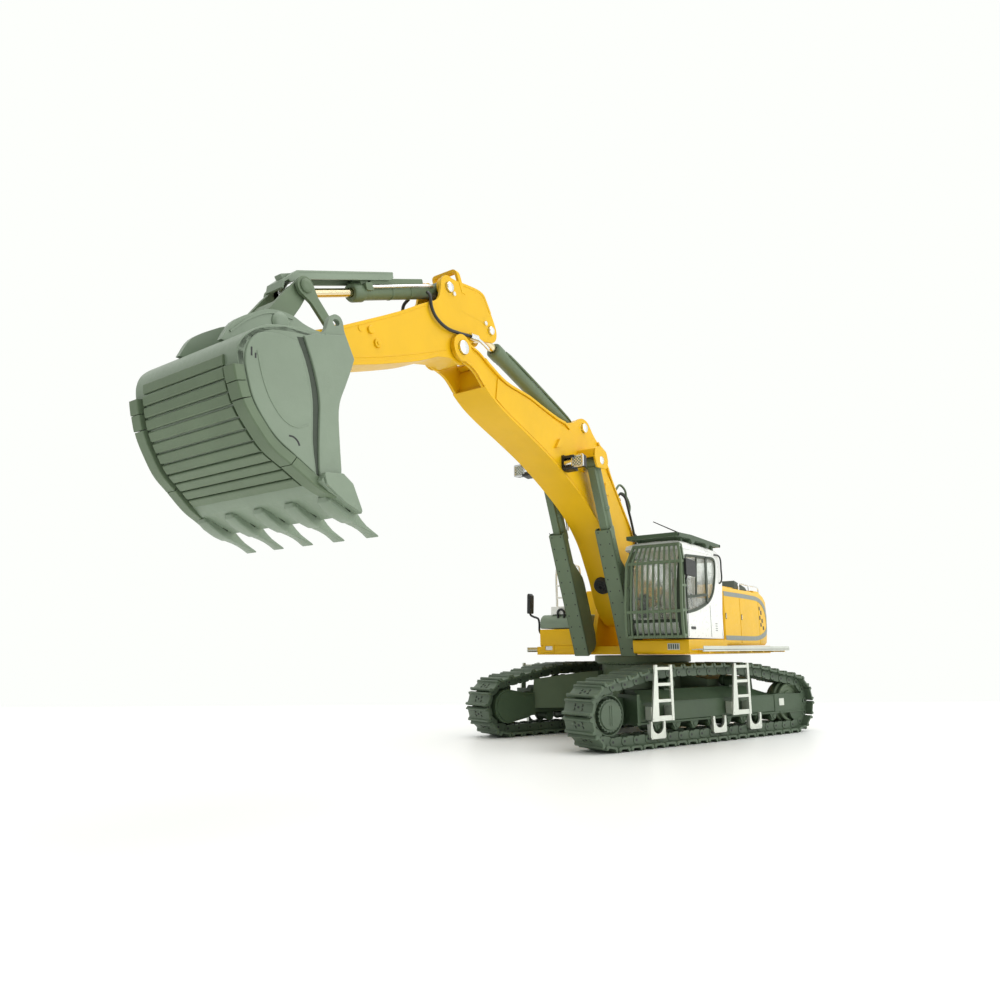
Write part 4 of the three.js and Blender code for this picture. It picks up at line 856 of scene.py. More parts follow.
# rear wall with its window, floor and roof
P.prism([(14.0, 35.1), (33.7, 35.1), (33.7, 65.2), (14.0, 65.2)], 2.3, 3.2, "yz", holes=[rounded([(16.5, 50), (31.2, 50), (31.2, 63), (16.5, 63)], 0.8, 3)])
P.box(2.8, 34.8, 14.0, 33.7, 35.1, 36.2)
P.box(33.6, 34.9, 14.0, 33.7, 35.1, 40.6)
P.done("cab_body", "upper_structure", WHT, bevel=0.25, seg=3, replaces=("cab_shell",))
P = Piece()
secs = []
for y, dz, ins in ((13.7, -0.6, 0.9), (14.3, 0.1, 0.3), (16.5, 0.5, 0), (23.8, 0.7, 0), (31.2, 0.5, 0), (33.4, 0.1, 0.3), (34.0, -0.6, 0.9)):
    secs.append([(x, y, z + (dz if z > 65.2 else 0)) for x, z in [(2.6 + ins, 64.6), (38.4 - ins, 64.6), (39.6 - ins, 65.2), (39.2 - ins, 66.2), (36.5, 66.9), (28, 67.0), (12, 66.9), (4.2, 66.4), (2.2 + ins, 65.4)]])
P.loft(secs)
for y in (30.6, 28.0, 17.0, 19.6):
    P.turn((38.6, y, 65.4), (1, 0, 0), [(0, 0), (0, 1.0), (0.9, 1.05), (1.1, 0.9), (1.1, 0)], 20)
P.done("cab_roof", "upper_structure", WHT, bevel=0.2, seg=3, auto=50, angle=50)
# dark window frames, posts and front pillars
P = Piece()
for y0, y1 in ((33.55, 33.95), (13.75, 14.1)):
    P.prism(WIN, y0, y1, holes=[shrink(WIN, 0.85)])
    P.prism([(17.6, 46.8), (16.3, 47.2), (15.6, 55), (15.3, 63.6), (17.0, 63.6), (17.2, 55)], y0, y1)
    P.prism([(34.6, 48.1), (34.6, 49.0), (17.4, 50.6), (17.4, 49.6)], y0, y1)
    P.prism([(25.9, 49.8), (26.8, 49.7), (25.2, 62.9), (24.4, 62.9)], y0, y1)
pil = smooth2([(34.9, 35.2), (37.2, 35.4), (38.9, 39.5), (39.6, 45.5), (39.2, 51), (38.2, 56), (36.9, 61), (36.0, 64.8)], 3) + smooth2([(34.8, 64.8), (35.2, 61), (36.2, 56), (37.0, 51), (37.3, 45.5), (36.8, 40), (35.4, 37)], 3)
for y0, y1 in ((32.2, 33.7), (14.0, 15.4)):
    P.prism(pil, y0, y1)
P.box(35.0, 37.2, 15, 32.4, 35.2, 36.6)
P.box(36.6, 38.9, 15, 32.4, 40.2, 41.2)
P.done("cab_window_frames", "upper_structure", DRK, bevel=0.12)
P = Piece()
P.prism(shrink(WIN, 0.2), 33.2, 33.5)
P.prism(shrink(WIN, 0.2), 14.2, 14.5)
fr_line = smooth2([(36.3, 36.4), (38.0, 39.5), (38.7, 45.5), (38.3, 51), (37.3, 56), (36.0, 61), (35.3, 64.6)], 4)
P.strip(fr_line, 15.3, 32.3, -0.15, 0.15)
P.prism(rounded([(16.3, 49.8), (31.4, 49.8), (31.4, 63.2), (16.3, 63.2)], 0.8, 3), 2.5, 2.8, "yz")
P.done("cab_panes", "upper_structure", GLS, bevel=0, replaces=("cab_glazing",))
# seat, consoles and levers
P = Piece()
P.prism(rounded([(12.0, 41.0), (21.8, 41.0), (22.2, 43.0), (20.8, 44.0), (14.0, 43.6), (12.0, 43.4)], 0.9, 4), 19.4, 28.2)
P.prism(rounded([(12.4, 43.2), (15.2, 43.6), (14.4, 50), (13.0, 57.2), (10.9, 57.0), (11.2, 50)], 1.0, 4), 19.6, 28.0)
P.prism(rounded([(11.2, 57.6), (13.0, 57.8), (12.7, 61.2), (11.1, 61.0)], 0.6, 4), 21.4, 26.2)
P.box(11.6, 12.4, 23.0, 24.6, 56.5, 58.4)
P.box(13.6, 20.2, 20.4, 27.2, 36.4, 41.2)
for y in (17.2, 28.9):
    P.prism(rounded([(13.0, 43.6), (21.2, 44.2), (21.6, 46.0), (13.0, 46.2)], 0.6, 3), y, y + 1.6)
    P.box(14.5, 17.5, y + 0.2, y + 1.4, 36.4, 43.8)
P.box(14.6, 16.6, 17.6, 30.2, 41.0, 42.0)
P.done("seat_shells", "upper_structure", SEA, bevel=0.45, seg=4, replaces=("operator_seat",))
P = Piece()
for y in (18.0, 29.7):
    P.cyl((20.4, y, 45.6), (21.4, y, 49.2), 0.4, 12)
    P.turn((21.4, y, 49.0), (0.25, 0, 1), [(0, 0), (0.1, 0.6), (0.7, 0.85), (1.5, 0.7), (1.9, 0)], 16)
P.cyl((30.5, 22.2, 36.4), (28.8, 22.2, 45.0), 0.35, 10)
P.cyl((30.5, 25.4, 36.4), (28.8, 25.4, 45.0), 0.35, 10)
P.prism(rounded([(31.2, 42), (33.4, 42), (32.6, 50.4), (31.0, 50.4)], 0.5, 3), 15.6, 18.4)
P.done("cab_levers", "upper_structure", BLK, bevel=0.15)
# door seam, handle, louvres, grab rail, mirror on the near pillar
P = Piece()
P.box(14.1, 14.35, 33.7, 33.79, 35.6, 46.6)
P.box(34.2, 34.4, 33.7, 33.79, 35.6, 42.9)
for k in range(4):
    P.box(8.0, 10.0, 33.7, 33.8, 37.8 + 0.8 * k, 38.0 + 0.8 * k)
P.prism(rounded([(28.6, 38.0), (32.2, 38.0), (32.2, 38.9), (28.6, 38.9)], 0.3, 3), 33.7, 33.95)
P.done("cab_door_lines", "upper_structure", BLK, bevel=0)
P = Piece()
P.tube([(8.6, 33.7, 64.9), (8.0, 34.3, 65.0), (4.6, 34.5, 64.8), (3.5, 34.6, 63.6), (3.4, 34.6, 60), (3.5, 34.6, 56.4), (3.9, 34.2, 55.2), (4.2, 33.5, 55.0)], 0.3, 10, 5)
P.tube([(35.6, 33.8, 54.0), (36.4, 34.6, 54.6), (36.4, 34.9, 57), (36.2, 34.8, 60.4), (35.4, 33.8, 61.2)], 0.36, 10, 4)
P.prism(rounded([(31.4, 55.2), (39.6, 55.4), (39.4, 60.9), (31.2, 60.5)], 0.5, 3), 35.2, 36.1)
P.tube([(36.8, 33.8, 60.0), (36.4, 35.4, 59.4)], 0.35, 10, 1)
P.done("cab_grab_rail", "upper_structure", BLK, bevel=0.12)

# front guard: bars that lean back to the roof above the third cross rail
P = Piece()


def guard_y(f, z):
    lo = lerp_tab([(35, 14.3), (60, 15.4), (66.2, 17.9)], z)
    hi = lerp_tab([(35, 34.6), (60, 35.0), (66.2, 33.8)], z)
    return lo + (hi - lo) * f


def guard_x(z):
    return lerp_tab([(35, 40.4), (38, 41.2), (46, 41.9), (60, 41.2), (66.2, 40.0)], z)


for i in range(11):
    f = i / 10
    w = 0.28 if 0 < i < 10 else 0.42
    secs = []
    for z in (35.2, 38, 42, 46, 52, 57, 60, 63, 66.0):
        y, x = guard_y(f, z), guard_x(z)
        secs.append([(x - 0.45, y - w, z), (x + 0.3, y - w, z), (x + 0.3, y + w, z), (x - 0.45, y + w, z)])
    P.loft(secs)
for z, dx in ((35.5, 0), (43.7, 0), (59.9, 0), (65.7, 0)):
    x = guard_x(z)
    y0, y1 = guard_y(0, z) - 0.4, guard_y(1, z) + 0.4
    P.loft([[(x - 0.95, y, z - 0.5), (x + 0.12, y, z - 0.5), (x + 0.12, y, z + 0.5), (x - 0.95, y, z + 0.5)] for y in (y0, y1)])
# side returns to the cab
for s, f in ((1, 1.0), (-1, 0.0)):
    for z in (36.0, 44.0, 52.0, 60.0):
        y = guard_y(f, z)
        P.box(37.8, guard_x(z), y - 0.35, y + 0.35, z - 0.4, z + 0.4)
    secs = []
    for z in (35.6, 46, 60, 66.0):
        y, x = guard_y(f, z), guard_x(z) - 2.2
        secs.append([(x - 0.4, y - 0.35, z), (x + 0.4, y - 0.35, z), (x + 0.4, y + 0.35, z), (x - 0.4, y + 0.35, z)])
    P.loft(secs)
P.done("front_guard_bars", "upper_structure", GRY, bevel=0.12, replaces=("cab_front_guard",))
# roof guard: rails, slanted louvres, brackets
P = Piece()
for y0, y1 in ((16.0, 17.3), (33.2, 34.6)):
    P.prism(rounded([(2.8, 68.2), (2.6, 69.2), (30, 69.8), (41.2, 69.4), (42.0, 68.4), (41.4, 68.0), (31, 68.3), (29.5, 66.9), (28, 66.9), (26.8, 68.2), (17.5, 68.1), (16.2, 66.9), (14.6, 66.9), (13.4, 68.0)], [0.2, 0.3, 0.5, 0.6, 0.3, 0.3, 0.8, 0.4, 0.4, 0.8, 0.8, 0.4, 0.4, 0.8], 3), y0, y1)
P.box(40.6, 41.9, 16.0, 34.6, 68.1, 69.4)
P.box(2.8, 4.0, 16.0, 34.6, 68.2, 69.2)
for i in range(12):
    x = 5.6 + 2.95 * i
    P.prism([(x, 68.2), (x + 0.35, 68.0), (x + 1.9, 69.3), (x + 1.6, 69.6)], 17.0, 33.6)
for x in (34.5, 6.5):
    for y0, y1 in ((17.3, 18.4), (32.0, 33.2)):
        P.box(x, x + 1.6, y0, y1, 66.6, 68.6)
P.done("roof_guard_rack", "upper_structure", FRM, bevel=0.14, replaces=("cab_roof_guard",))
P = Piece()
P.tube([(1.0, 29, 70.1), (2.2, 22.4, 73.4), (3.4, 15.8, 76.8), (4.6, 9.2, 80.3)], lambda t: 0.3 - 0.12 * t, 8, 4)
P.cyl((2.6, 29.2, 69.0), (1.0, 29.0, 70.2), 0.55, 12)
P.done("whip_aerial", "upper_structure", BLK, bevel=0, replaces=("antenna",))
# ------------------------------------------------------------------ boom
B_TOP = smooth2([(9.4, 51), (9.6, 62), (15.6, 73.6), (24.6, 84.6), (31.2, 92.6), (35.5, 99.0), (39.9, 104.2), (44.0, 107.3), (47.4, 110.6), (50.6, 111.3), (53.6, 110.6), (56.4, 108.8), (61.6, 107.2), (66, 107.1), (76.3, 108.6), (85.2, 110.3), (97.7, 111.5), (105.4, 114.3), (110.6, 116.7), (114.9, 117.7)], 4)
B_TIP = ring2(P_TIP, 3.75, 12, radians(110), radians(-62), True)
B_BOT = smooth2([(120.0, 111.7), (113.4, 110.2), (108.7, 106.6), (104, 103.6), (97.8, 100.9), (85.4, 96.6), (72.6, 91.8), (61, 86.3), (49.5, 79.9), (42, 74.2), (36.4, 68), (33, 62.4), (29.3, 56), (26.2, 49), (22.2, 43.6), (18.4, 40.7)], 4)
B_FOOT = ring2(P_FOOT, 4.1, 10, radians(-50), radians(-160), True)
SIDE = B_TOP + B_TIP + B_BOT + B_FOOT + [(9.6, 46)]
SIDE_IN = inset(SIDE, 0.0)
P = Piece()
for s in (1, -1):
    P.prism(SIDE, *sorted((s * 4.75, s * 5.4)), holes=[ring2(P_TIP, 2.1, 24), ring2(P_HUMP, 1.75, 20), ring2(P_FOOT, 2.05, 24), ring2(P_CYL1, 1.65, 20)])
# doubler plate on each side, bounded above by a crease and below by the lip of the belly plate
up_edge = smooth2([(101.8, 111.2), (97.4, 110.3), (85.0, 109.1), (76.2, 107.4), (69.0, 105.9), (60.6, 104.6), (53.9, 103.1), (45.5, 100.4), (38.7, 96.9), (30.8, 90.9), (26.0, 85.4), (17.2, 74.0), (12.6, 64.4), (11.2, 56.0), (11.4, 49.6)], 4)
lo_edge = smooth2([(24.6, 49.6), (28.4, 56.8), (32.0, 63.0), (35.6, 69.0), (41.4, 75.3), (48.9, 81.1), (60.4, 87.5), (72.0, 93.0), (84.8, 97.8), (97.2, 102.1), (102.6, 104.6)], 4)
for s in (1, -1):
    P.prism(up_edge + lo_edge, *sorted((s * 5.3, s * 5.7)), holes=[ring2(P_CYL1, 1.65, 20)])
# hump cheeks beside the cylinder eye
hc = smooth2([(40, 103.6), (44.2, 107.2), (47.5, 110.4), (50.6, 111.1), (53.5, 110.4), (56.4, 108.6), (61.6, 107.0), (63, 104)], 3)
for s in (1, -1):
    P.prism(hc, *sorted((s * 2.85, s * 5.1)), holes=[ring2(P_HUMP, 1.75, 20)])
for s in (1, -1):
    P.prism(ring2(P_TIP, 3.9, 28), *sorted((s * 5.6, s * 6.1)), holes=[ring2(P_TIP, 2.1, 24)])
    P.prism(ring2(P_FOOT, 3.9, 28), *sorted((s * 5.6, s * 6.3)), holes=[ring2(P_FOOT, 2.05, 24)])
    P.prism(ring2(P_CYL1, 3.2, 28), *sorted((s * 5.6, s * 6.25)), holes=[ring2(P_CYL1, 1.65, 20)])
    # outer boss over the top eye of the boom cylinder
    cap = rounded([(47.9, 92.6), (54.9, 92.0), (56.5, 95.6), (55.9, 98.6), (52.1, 100.0), (48.1, 98.4), (47.1, 95.4)], [1.6, 1.2, 1.0, 1.0, 1.5, 1.6, 1.0], 5)
    P.prism(cap, *sorted((s * 12.2, s * 12.85)), holes=[ring2(P_CYL1, 1.45, 24)])
    P.prism(rounded([(55.7, 95.6), (56.5, 95.6), (55.9, 98.6), (52.1, 100.0), (48.1, 98.6), (48.7, 98.0), (52.0, 99.1), (55.2, 98.0)], [0.1, 0.1, 1.0, 1.5, 1.0, 0.1, 0.8, 0.8], 4), *sorted((s * 5.5, s * 12.5)))
P.done("boom_sides", "boom_body", YEL, bevel=0.18, seg=3, replaces=("boom",))
# flanges: top and bottom cover plates that stand a little proud of the sides
P = Piece()
back = [p for p in B_TOP if p[0] < 41.5 and p[1] < 105.6]
P.strip(back, -6.1, 6.1, -0.85, 0.05)
front = [(60.5, 105.6)] + [p for p in B_TOP if p[0] > 63 and p[0] < 108.5]
P.strip(front, -6.1, 6.1, -0.85, 0.05)
bot = [p for p in B_BOT if p[0] < 108.9]
P.strip(bot, -6.1, 6.1, -0.85, 0.05)
P.strip([(40.5, 104.0), (46.2, 105.2), (50.6, 104.4), (60.5, 105.2)], -5.2, 5.2, -0.8, 0)
P.strip([(bot[-1][0], bot[-1][1])] + B_FOOT[:6], -5.9, 5.9, -0.8, 0.05)
# fork bridge behind the stick nose
P.prism(rounded([(104.6, 104.6), (107.0, 105.8), (107.0, 113.8), (104.6, 113.4)], 0.4, 2), -5.2, 5.2)
P.done("boom_flanges", "boom_body", YEL, bevel=0.16, seg=3)
# fork cheek rims, weld beads and the stiffener wedges on the sides
P = Piece()
for s in (1, -1):
    rim = [p for p in B_TOP if p[0] > 104] + B_TIP + [p for p in B_BOT if p[0] > 104]
    P.strip(rim, *sorted((s * 5.65, s * 5.95)), -0.9, -0.25)
    P.prism([(70.7, 96.4), (68.3, 97.1), (66.0, 99.2), (68.2, 100.0)], *sorted((s * 5.6, s * 6.6)))
    P.prism(rounded([(37.2, 91.0), (33.9, 90.4), (33.6, 86.4), (36.9, 86.0)], 1.1, 3), *sorted((s * 5.6, s * 6.15)))
P.done("boom_details", "boom_body", YEL, bevel=0.08)
P = Piece()
P.strip([p for p in B_BOT if 47 < p[0] < 99.6], -5.1, 5.1, -1.08, -0.4)
P.done("boom_belly_seam", "boom_body", YEL, bevel=0.08)


def pins(side, fl):
    fr = flipped(up) if fl else up
    P = Piece(fr)
    for c, y0, y1, r in ((P_TIP, 0.1, 7.05, 2.0), (P_HUMP, 0.1, 6.6, 1.6), ):
        P.pin(c, y0, y1, r, 36, 0.4)
    P.pin(P_CYL1, 12.0, 13.2, 1.4, 32, 0.4)
    P.done("boom_pins_" + side, "boom_body", SIL, bevel=0, replaces=("boom_tip_pin", "stick_cylinder_pin", "boom_cylinder_pin") if not fl else ())
    P = Piece(fr)
    P.pin(P_FOOT, 0.1, 9.5, 1.9, 32, 0.4)
    P.done("foot_pin_" + side, "upper_structure", SIL, bevel=0, replaces=("boom_foot_pin",) if not fl else ())
    # work light: fork bracket with its swivel drum, housing, bezel and a lens with crossed ribs
    P = Piece(fr)
    P.box(63.2, 66.4, 5.6, 6.6, 89.6, 94.8)
    P.prism(rounded([(63.0, 93.7), (66.8, 93.4), (66.8, 94.3), (63.0, 94.9)], 0.15, 2), 6.0, 10.4)
    P.prism(rounded([(63.0, 89.4), (66.8, 89.8), (66.8, 90.6), (63.0, 90.5)], 0.15, 2), 6.0, 10.0)
    P.loft([[(x, 11.5 + w * a, 92.2 + h * b_) for a, b_ in ((-1, -1), (1, -1), (1, 1), (-1, 1))] for x, w, h in ((62.6, 1.2, 1.2), (63.2, 1.9, 1.8), (65.4, 2.15, 2.05), (65.6, 2.15, 2.05))])
    P.done("lamp_housing_" + side, "boom_body", BLK, bevel=0.18, seg=3, replaces=("work_light_" + side,))
    P = Piece(fr)
    P.cyl((64.9, 6.4, 92.1), (64.9, 9.5, 92.1), 1.45, 32, 0.2)
    P.prism(rounded([(9.3, 90.1), (13.7, 90.1), (13.7, 94.3), (9.3, 94.3)], 0.5, 3), 65.5, 66.25, "yz", holes=[rounded([(9.75, 90.55), (13.25, 90.55), (13.25, 93.85), (9.75, 93.85)], 0.25, 3)])
    P.done("lamp_bezel_" + side, "boom_body", SIL, bevel=0.1)
    P = Piece(fr)
    P.box(65.3, 65.9, 9.7, 13.3, 90.5, 93.9)
    P.done("lamp_lens_" + side, "boom_body", LNS, bevel=0)
    P = Piece(fr)
    for k in range(-3, 4):
        for sgn in (1, -1):
            pts = []
            for j in range(25):
                yy = 9.8 + 3.4 * j / 24
                zz = 92.2 + 1.05 * k + sgn * (yy - 11.5)
                if 90.6 <= zz <= 93.8:
                    pts.append((65.92, yy, zz))
            if len(pts) > 2:
                P.tube([pts[0], pts[-1]], 0.1, 6, 1)
    P.done("lamp_ribs_" + side, "boom_body", GRY, bevel=0)


both(pins)
# hoses: two along the back of the boom, a bundle to the cylinder, and the loops with their bright ferrules
P = Piece()
bk = [(4.9, 50), (4.6, 57), (7.4, 66.3), (13.4, 75.6), (22.2, 86.0), (29.2, 94.2), (33.4, 100.4), (37.4, 104.6)]
for y in (-3.2, -1.2, 1.2, 3.2):
    P.tube([(p[0] - 0.1, y, p[1]) for p in bk], 0.72, 10, 5)
for s in (1, -1):
    P.tube([(15.5, s * 3.5, 75.8), (12.6, s * 5.0, 74.6), (11.2, s * 6.9, 70.0), (13.4, s * 7.4, 64.6), (17.0, s * 7.2, 60.8), (19.0, s * 6.6, 58.4)], 0.5, 10, 6)
for s in (1, -1):
    P.tube([(24.2, s * 5.2, 89.0), (22.4, s * 6.3, 87.6), (20.9, s * 6.7, 83.6), (18.6, s * 6.8, 78.4), (16.2, s * 6.8, 72.4), (14.2, s * 6.6, 67.6)], 0.45, 10, 6)
P.done("boom_hose_lines", "boom_body", RUB, bevel=0, replaces=("boom_hoses",))
P = Piece()
c0, nx, nz, tx, tz = (28.7, 54.5), 0.87, -0.5, 0.5, 0.87
P.turn((c0[0] - 0.2, -0.9, c0[1] + 0.1), (nx, 0, nz), [(0, 0), (0, 3.3), (0.9, 3.1), (1.0, 2.9), (1.0, 0)], 32)
for rr, off in ((2.6, 1.0), (1.8, 1.25), (1.0, 1.35)):
    P.tube([(c0[0] + nx * off + tx * rr * cos(a), -0.9 + rr * sin(a), c0[1] + nz * off + tz * rr * cos(a)) for a in [2 * pi * k / 28 for k in range(29)]], 0.38, 8, 1)
P.done("belly_hose_coil", "boom_body", RUB, bevel=0)
P = Piece()
for s in (1, -1):
    P.tube([(24.6, s * 4.0, 86.9), (22.0, s * 4.6, 89.4), (20.0, s * 5.4, 88.6), (18.6, s * 6.3, 84.8), (19.6, s * 6.4, 81.6)], 0.42, 10, 6)
    P.tube([(26.4, s * 4.6, 89.8), (24.4, s * 5.4, 92.0), (22.0, s * 6.3, 90.2), (21.4, s * 6.4, 86.4)], 0.42, 10, 6)
P.done("boom_steel_pipes", "boom_body", GRY, bevel=0)
P = Piece()
for x, z, a in ((8.0, 67.3, 58), (22.6, 86.6, 50), (31.0, 97.0, 57)):
    c, s_ = cos(radians(a)), sin(radians(a))
    P.prism([(x + c * dx - s_ * dz, z + s_ * dx + c * dz) for dx, dz in ((-0.7, -0.9), (0.7, -0.9), (0.7, 0.95), (-0.7, 0.95))], -4.3, 4.3)
P.done("hose_clamps", "boom_body", YEL, bevel=0.15)

# ------------------------------------------------------------------ boom cylinders
cyl = Line(P_CYL0, P_CYL1)


def boom_cylinder(side, fl):
    fr = flipped(up) if fl else up
    f = cyl
    d = (f.u[0], 0, f.u[1])
    P = Piece(fr)
    P.turn(f.p3(3.5, 0, CYL_Y), d, [(0, 0), (0, 1.5), (3.0, 1.5), (3.2, 1.2), (43.5, 1.2), (43.5, 0)], 28)
    for y0, y1 in ((7.4, 8.2), (10.6, 11.4)):
        P.prism(rounded([f.at(-2.3, -1.7), f.at(6.0, -1.9), f.at(6.0, 1.9), f.at(-2.3, 1.7)], [1.5, 0.3, 0.3, 1.5], 4), y0, y1)
    P.turn((P_CYL0[0], 7.35, P_CYL0[1]), (0, 1, 0), [(0, 0), (0, 1.1), (4.4, 1.1), (4.6, 0.8), (4.6, 0)], 24)
    P.done("boom_rod_" + side, "boom_rod_" + side, CHR, bevel=0.08, replaces=("boom_cylinder_rod_" + side,))
    # guard: folded plate over the rod with two rows of rivets on each visible face
    P = Piece(fr)
    out = [f.at(-1.9, 1.2), f.at(-2.6, -3.9), f.at(42.9, -3.9), f.at(43.5, -2.8), f.at(43.3, -0.9), f.at(31.6, -0.6), f.at(29.6, 0.6), f.at(25.0, 3.5), f.at(22.4, 3.9), f.at(3, 3.9), f.at(-0.6, 3.0)]
    for y0, y1 in ((6.45, 6.95), (11.9, 12.4)):
        P.prism(out, y0, y1)
    P.prism([f.at(-2.6, -3.9), f.at(42.9, -3.9), f.at(43.0, -3.35), f.at(-2.5, -3.35)], 6.45, 12.4)
    P.done("rod_guard_plate_" + side, "boom_rod_" + side, GRY, bevel=0.16, seg=3, replaces=("rod_guard_" + side,))
    P = Piece(fr)
    nrm = (f.u[1], 0, -f.u[0])
    for k in range(11):
        s_ = 0.2 + 4.2 * k
        for y in (7.6, 11.2):
            P.turn(f.p3(s_, -3.85, y), nrm, [(0, 0), (0, 0.32), (0.1, 0.25), (0.13, 0)], 8)
        for t in (-2.9, 2.6):
            if t > 0 and s_ > 22:
                continue
            P.turn(f.p3(s_ + 1.4, t, 12.35), (0, 1, 0), [(0, 0), (0, 0.26), (0.1, 0.2), (0.13, 0)], 8)
    P.done("guard_rivets_" + side, "boom_rod_" + side, BLK, bevel=0)
    # barrel: gland head, clamp bands, top eye, feed pipe with bright unions
    P = Piece(fr)
    P.turn(f.p3(40.2, 0, CYL_Y), d, [(0, 1.35), (0, 2.1), (0.3, 2.35), (3.0, 2.35), (3.2, 2.1), (9.0, 2.1), (9.1, 2.3), (10.2, 2.3), (10.3, 2.1), (f.l - 42.6, 2.1), (f.l - 41.6, 1.7), (f.l - 41.6, 0)], 36)
    P.turn((P_CYL1[0], 7.0, P_CYL1[1]), (0, 1, 0), [(0, 0), (0, 2.5), (0.3, 2.75), (4.5, 2.75), (4.8, 2.5), (4.8, 0)], 36)
    P.prism(rounded([f.at(42.4, -2.9), f.at(f.l - 1.5, -3.0), f.at(f.l - 0.5, -1.4), f.at(f.l - 0.5, 1.4), f.at(47, 1.6), f.at(42.4, 1.6)], 0.5, 3), 8.2, 10.9)
    P.done("boom_barrel_tube_" + side, "boom_barrel_" + side, GRY, bevel=0.12, replaces=("boom_cylinder_barrel_" + side,))
    P = Piece(fr)
    P.tube([f.p3(43.0, 2.9, 8.2), f.p3(45, 3.0, 7.9), f.p3(56, 3.0, 7.9), f.p3(60, 2.6, 8.2)], 0.5, 12, 5)
    P.done("boom_barrel_pipe_" + side, "boom_barrel_" + side, SIL, bevel=0)


both(boom_cylinder)

# ------------------------------------------------------------------ stick cylinder
sc = Line(P_HUMP, P_REAR)
d = (sc.u[0], 0, sc.u[1])
P = Piece()
P.turn(sc.p3(1.2), d, [(0, 0), (0, 1.5), (1.4, 2.3), (41.8, 2.3), (42.1, 2.4), (43.6, 2.4), (43.9, 2.55), (46.9, 2.55), (47.3, 2.25), (47.3, 1.4), (46.5, 1.4)], 40)
P.turn((P_HUMP[0], -2.4, P_HUMP[1]), (0, 1, 0), [(0, 0), (0, 2.4), (0.3, 2.6), (4.5, 2.6), (4.8, 2.4), (4.8, 0)], 32)
P.done("stick_barrel_tube", "stick_barrel", GRY, bevel=0.1, replaces=("stick_cylinder_barrel",))
P = Piece()
P.tube([sc.p3(3.4, 1.3, 1.9), sc.p3(6, 1.5, 2.05), sc.p3(42, 1.5, 2.05), sc.p3(44.4, 1.3, 1.9)], 0.4, 12, 6)
P.tube([sc.p3(3.4, 1.3, -1.9), sc.p3(6, 1.5, -2.05), sc.p3(36, 1.5, -2.05), sc.p3(38, 1.0, -1.8)], 0.4, 12, 6)
P.done("stick_barrel_pipes", "stick_barrel", GRY, bevel=0)
P = Piece()
P.turn(sc.p3(2.2, 2.4, 0), (-sc.u[1], 0, sc.u[0]), [(0, 0), (0, 0.7), (0.8, 0.7), (0.9, 0.5), (0.9, 0)], 14)
P.turn(sc.p3(45.2, 2.4, 0), (-sc.u[1], 0, sc.u[0]), [(0, 0), (0, 0.55), (0.5, 0.55), (0.6, 0.4), (0.6, 0)], 14)
P.done("stick_barrel_unions", "stick_barrel", SIL, bevel=0)
P = Piece()
P.turn(sc.p3(16), d, [(0, 0), (0, 1.3), (sc.l - 18.5, 1.3), (sc.l - 18.3, 1.5), (sc.l - 17.0, 1.5), (sc.l - 17.0, 0)], 32)
P.turn((P_REAR[0], -2.1, P_REAR[1]), (0, 1, 0), [(0, 0), (0, 2.1), (0.3, 2.3), (3.9, 2.3), (4.2, 2.1), (4.2, 0)], 32)
P.done("stick_rod_bar", "stick_rod", BRS, bevel=0, replaces=("stick_cylinder_rod",))

# ------------------------------------------------------------------ stick
S_UP = smooth2([(163.4, 105.9), (143.1, 117.4), (135.4, 122.3), (131.0, 124.9), (128.4, 126.6), (127.3, 128.2)], 3)
S_BACK = [(126.8, 131.2)] + ring2(P_TOP, 3.5, 8, radians(10), radians(110), True) + smooth2([(118.6, 135.7), (113.6, 136.4), (109.4, 136.7), (107.2, 136.2), (105.6, 134.4), (103.6, 131.6), (101.9, 129.0), (100.7, 126.4), (101.0, 124.0), (102.4, 122.6), (105.2, 121.9), (110.4, 120.4), (113.2, 118.7), (114.1, 116.2), (114.6, 113.6), (115.9, 111.6), (118.0, 110.7), (120.4, 110.9), (122.6, 111.6)], 3)
S_LOW = smooth2([(127.6, 110.2), (135.3, 106.5), (142.7, 103.6), (150.7, 100.7), (158.7, 98.0), (166.6, 94.9)], 3)
S_NOSE = ring2(P_BUCKET, 3.7, 12, radians(-110), radians(70), True)
STICK = S_UP + S_BACK + S_LOW + S_NOSE
P = Piece()
for s in (1, -1):
    P.prism(STICK, *sorted((s * 3.75, s * 4.5)), holes=[ring2(P_TOP, 1.55, 20), ring2(P_REAR, 1.35, 20), ring2(P_TIP, 2.1, 20), ring2(P_BUCKET, 1.5, 20)])
# inner cheeks at the two cylinder eyes
for s in (1, -1):
    P.prism(ring2(P_REAR, 3.2, 24), *sorted((s * 2.5, s * 3.8)), holes=[ring2(P_REAR, 1.35, 20)])
    P.prism(ring2(P_TOP, 3.2, 24), *sorted((s * 2.5, s * 3.8)), holes=[ring2(P_TOP, 1.55, 20)])
P.turn((P_TIP[0], -4.6, P_TIP[1]), (0, 1, 0), [(0, 2.05), (0, 3.6), (9.2, 3.6), (9.2, 2.05)], 36)
P.turn((P_BUCKET[0], -4.95, P_BUCKET[1]), (0, 1, 0), [(0, 1.45), (0, 3.0), (0.3, 3.2), (9.6, 3.2), (9.9, 3.0), (9.9, 1.45)], 32)
P.done("stick_sides", "stick_body", YEL, bevel=0.18, seg=3, replaces=("stick",))
P = Piece()
P.strip([p for p in S_UP if p[0] > 129.5], -4.62, 4.62, -0.1, 0.75)
bk2 = [p for p in S_BACK if p[0] < 119 and p[1] > 131.5]
P.strip(bk2, -4.62, 4.62, -0.1, 0.75)
low = [(115.4, 112.2), (118.6, 110.9), (122.6, 111.4)] + S_LOW
P.strip(low, -4.62, 4.62, -0.1, 0.75)
P.strip(S_NOSE[:4] , -4.6, 4.6, -0.1, 0.7)
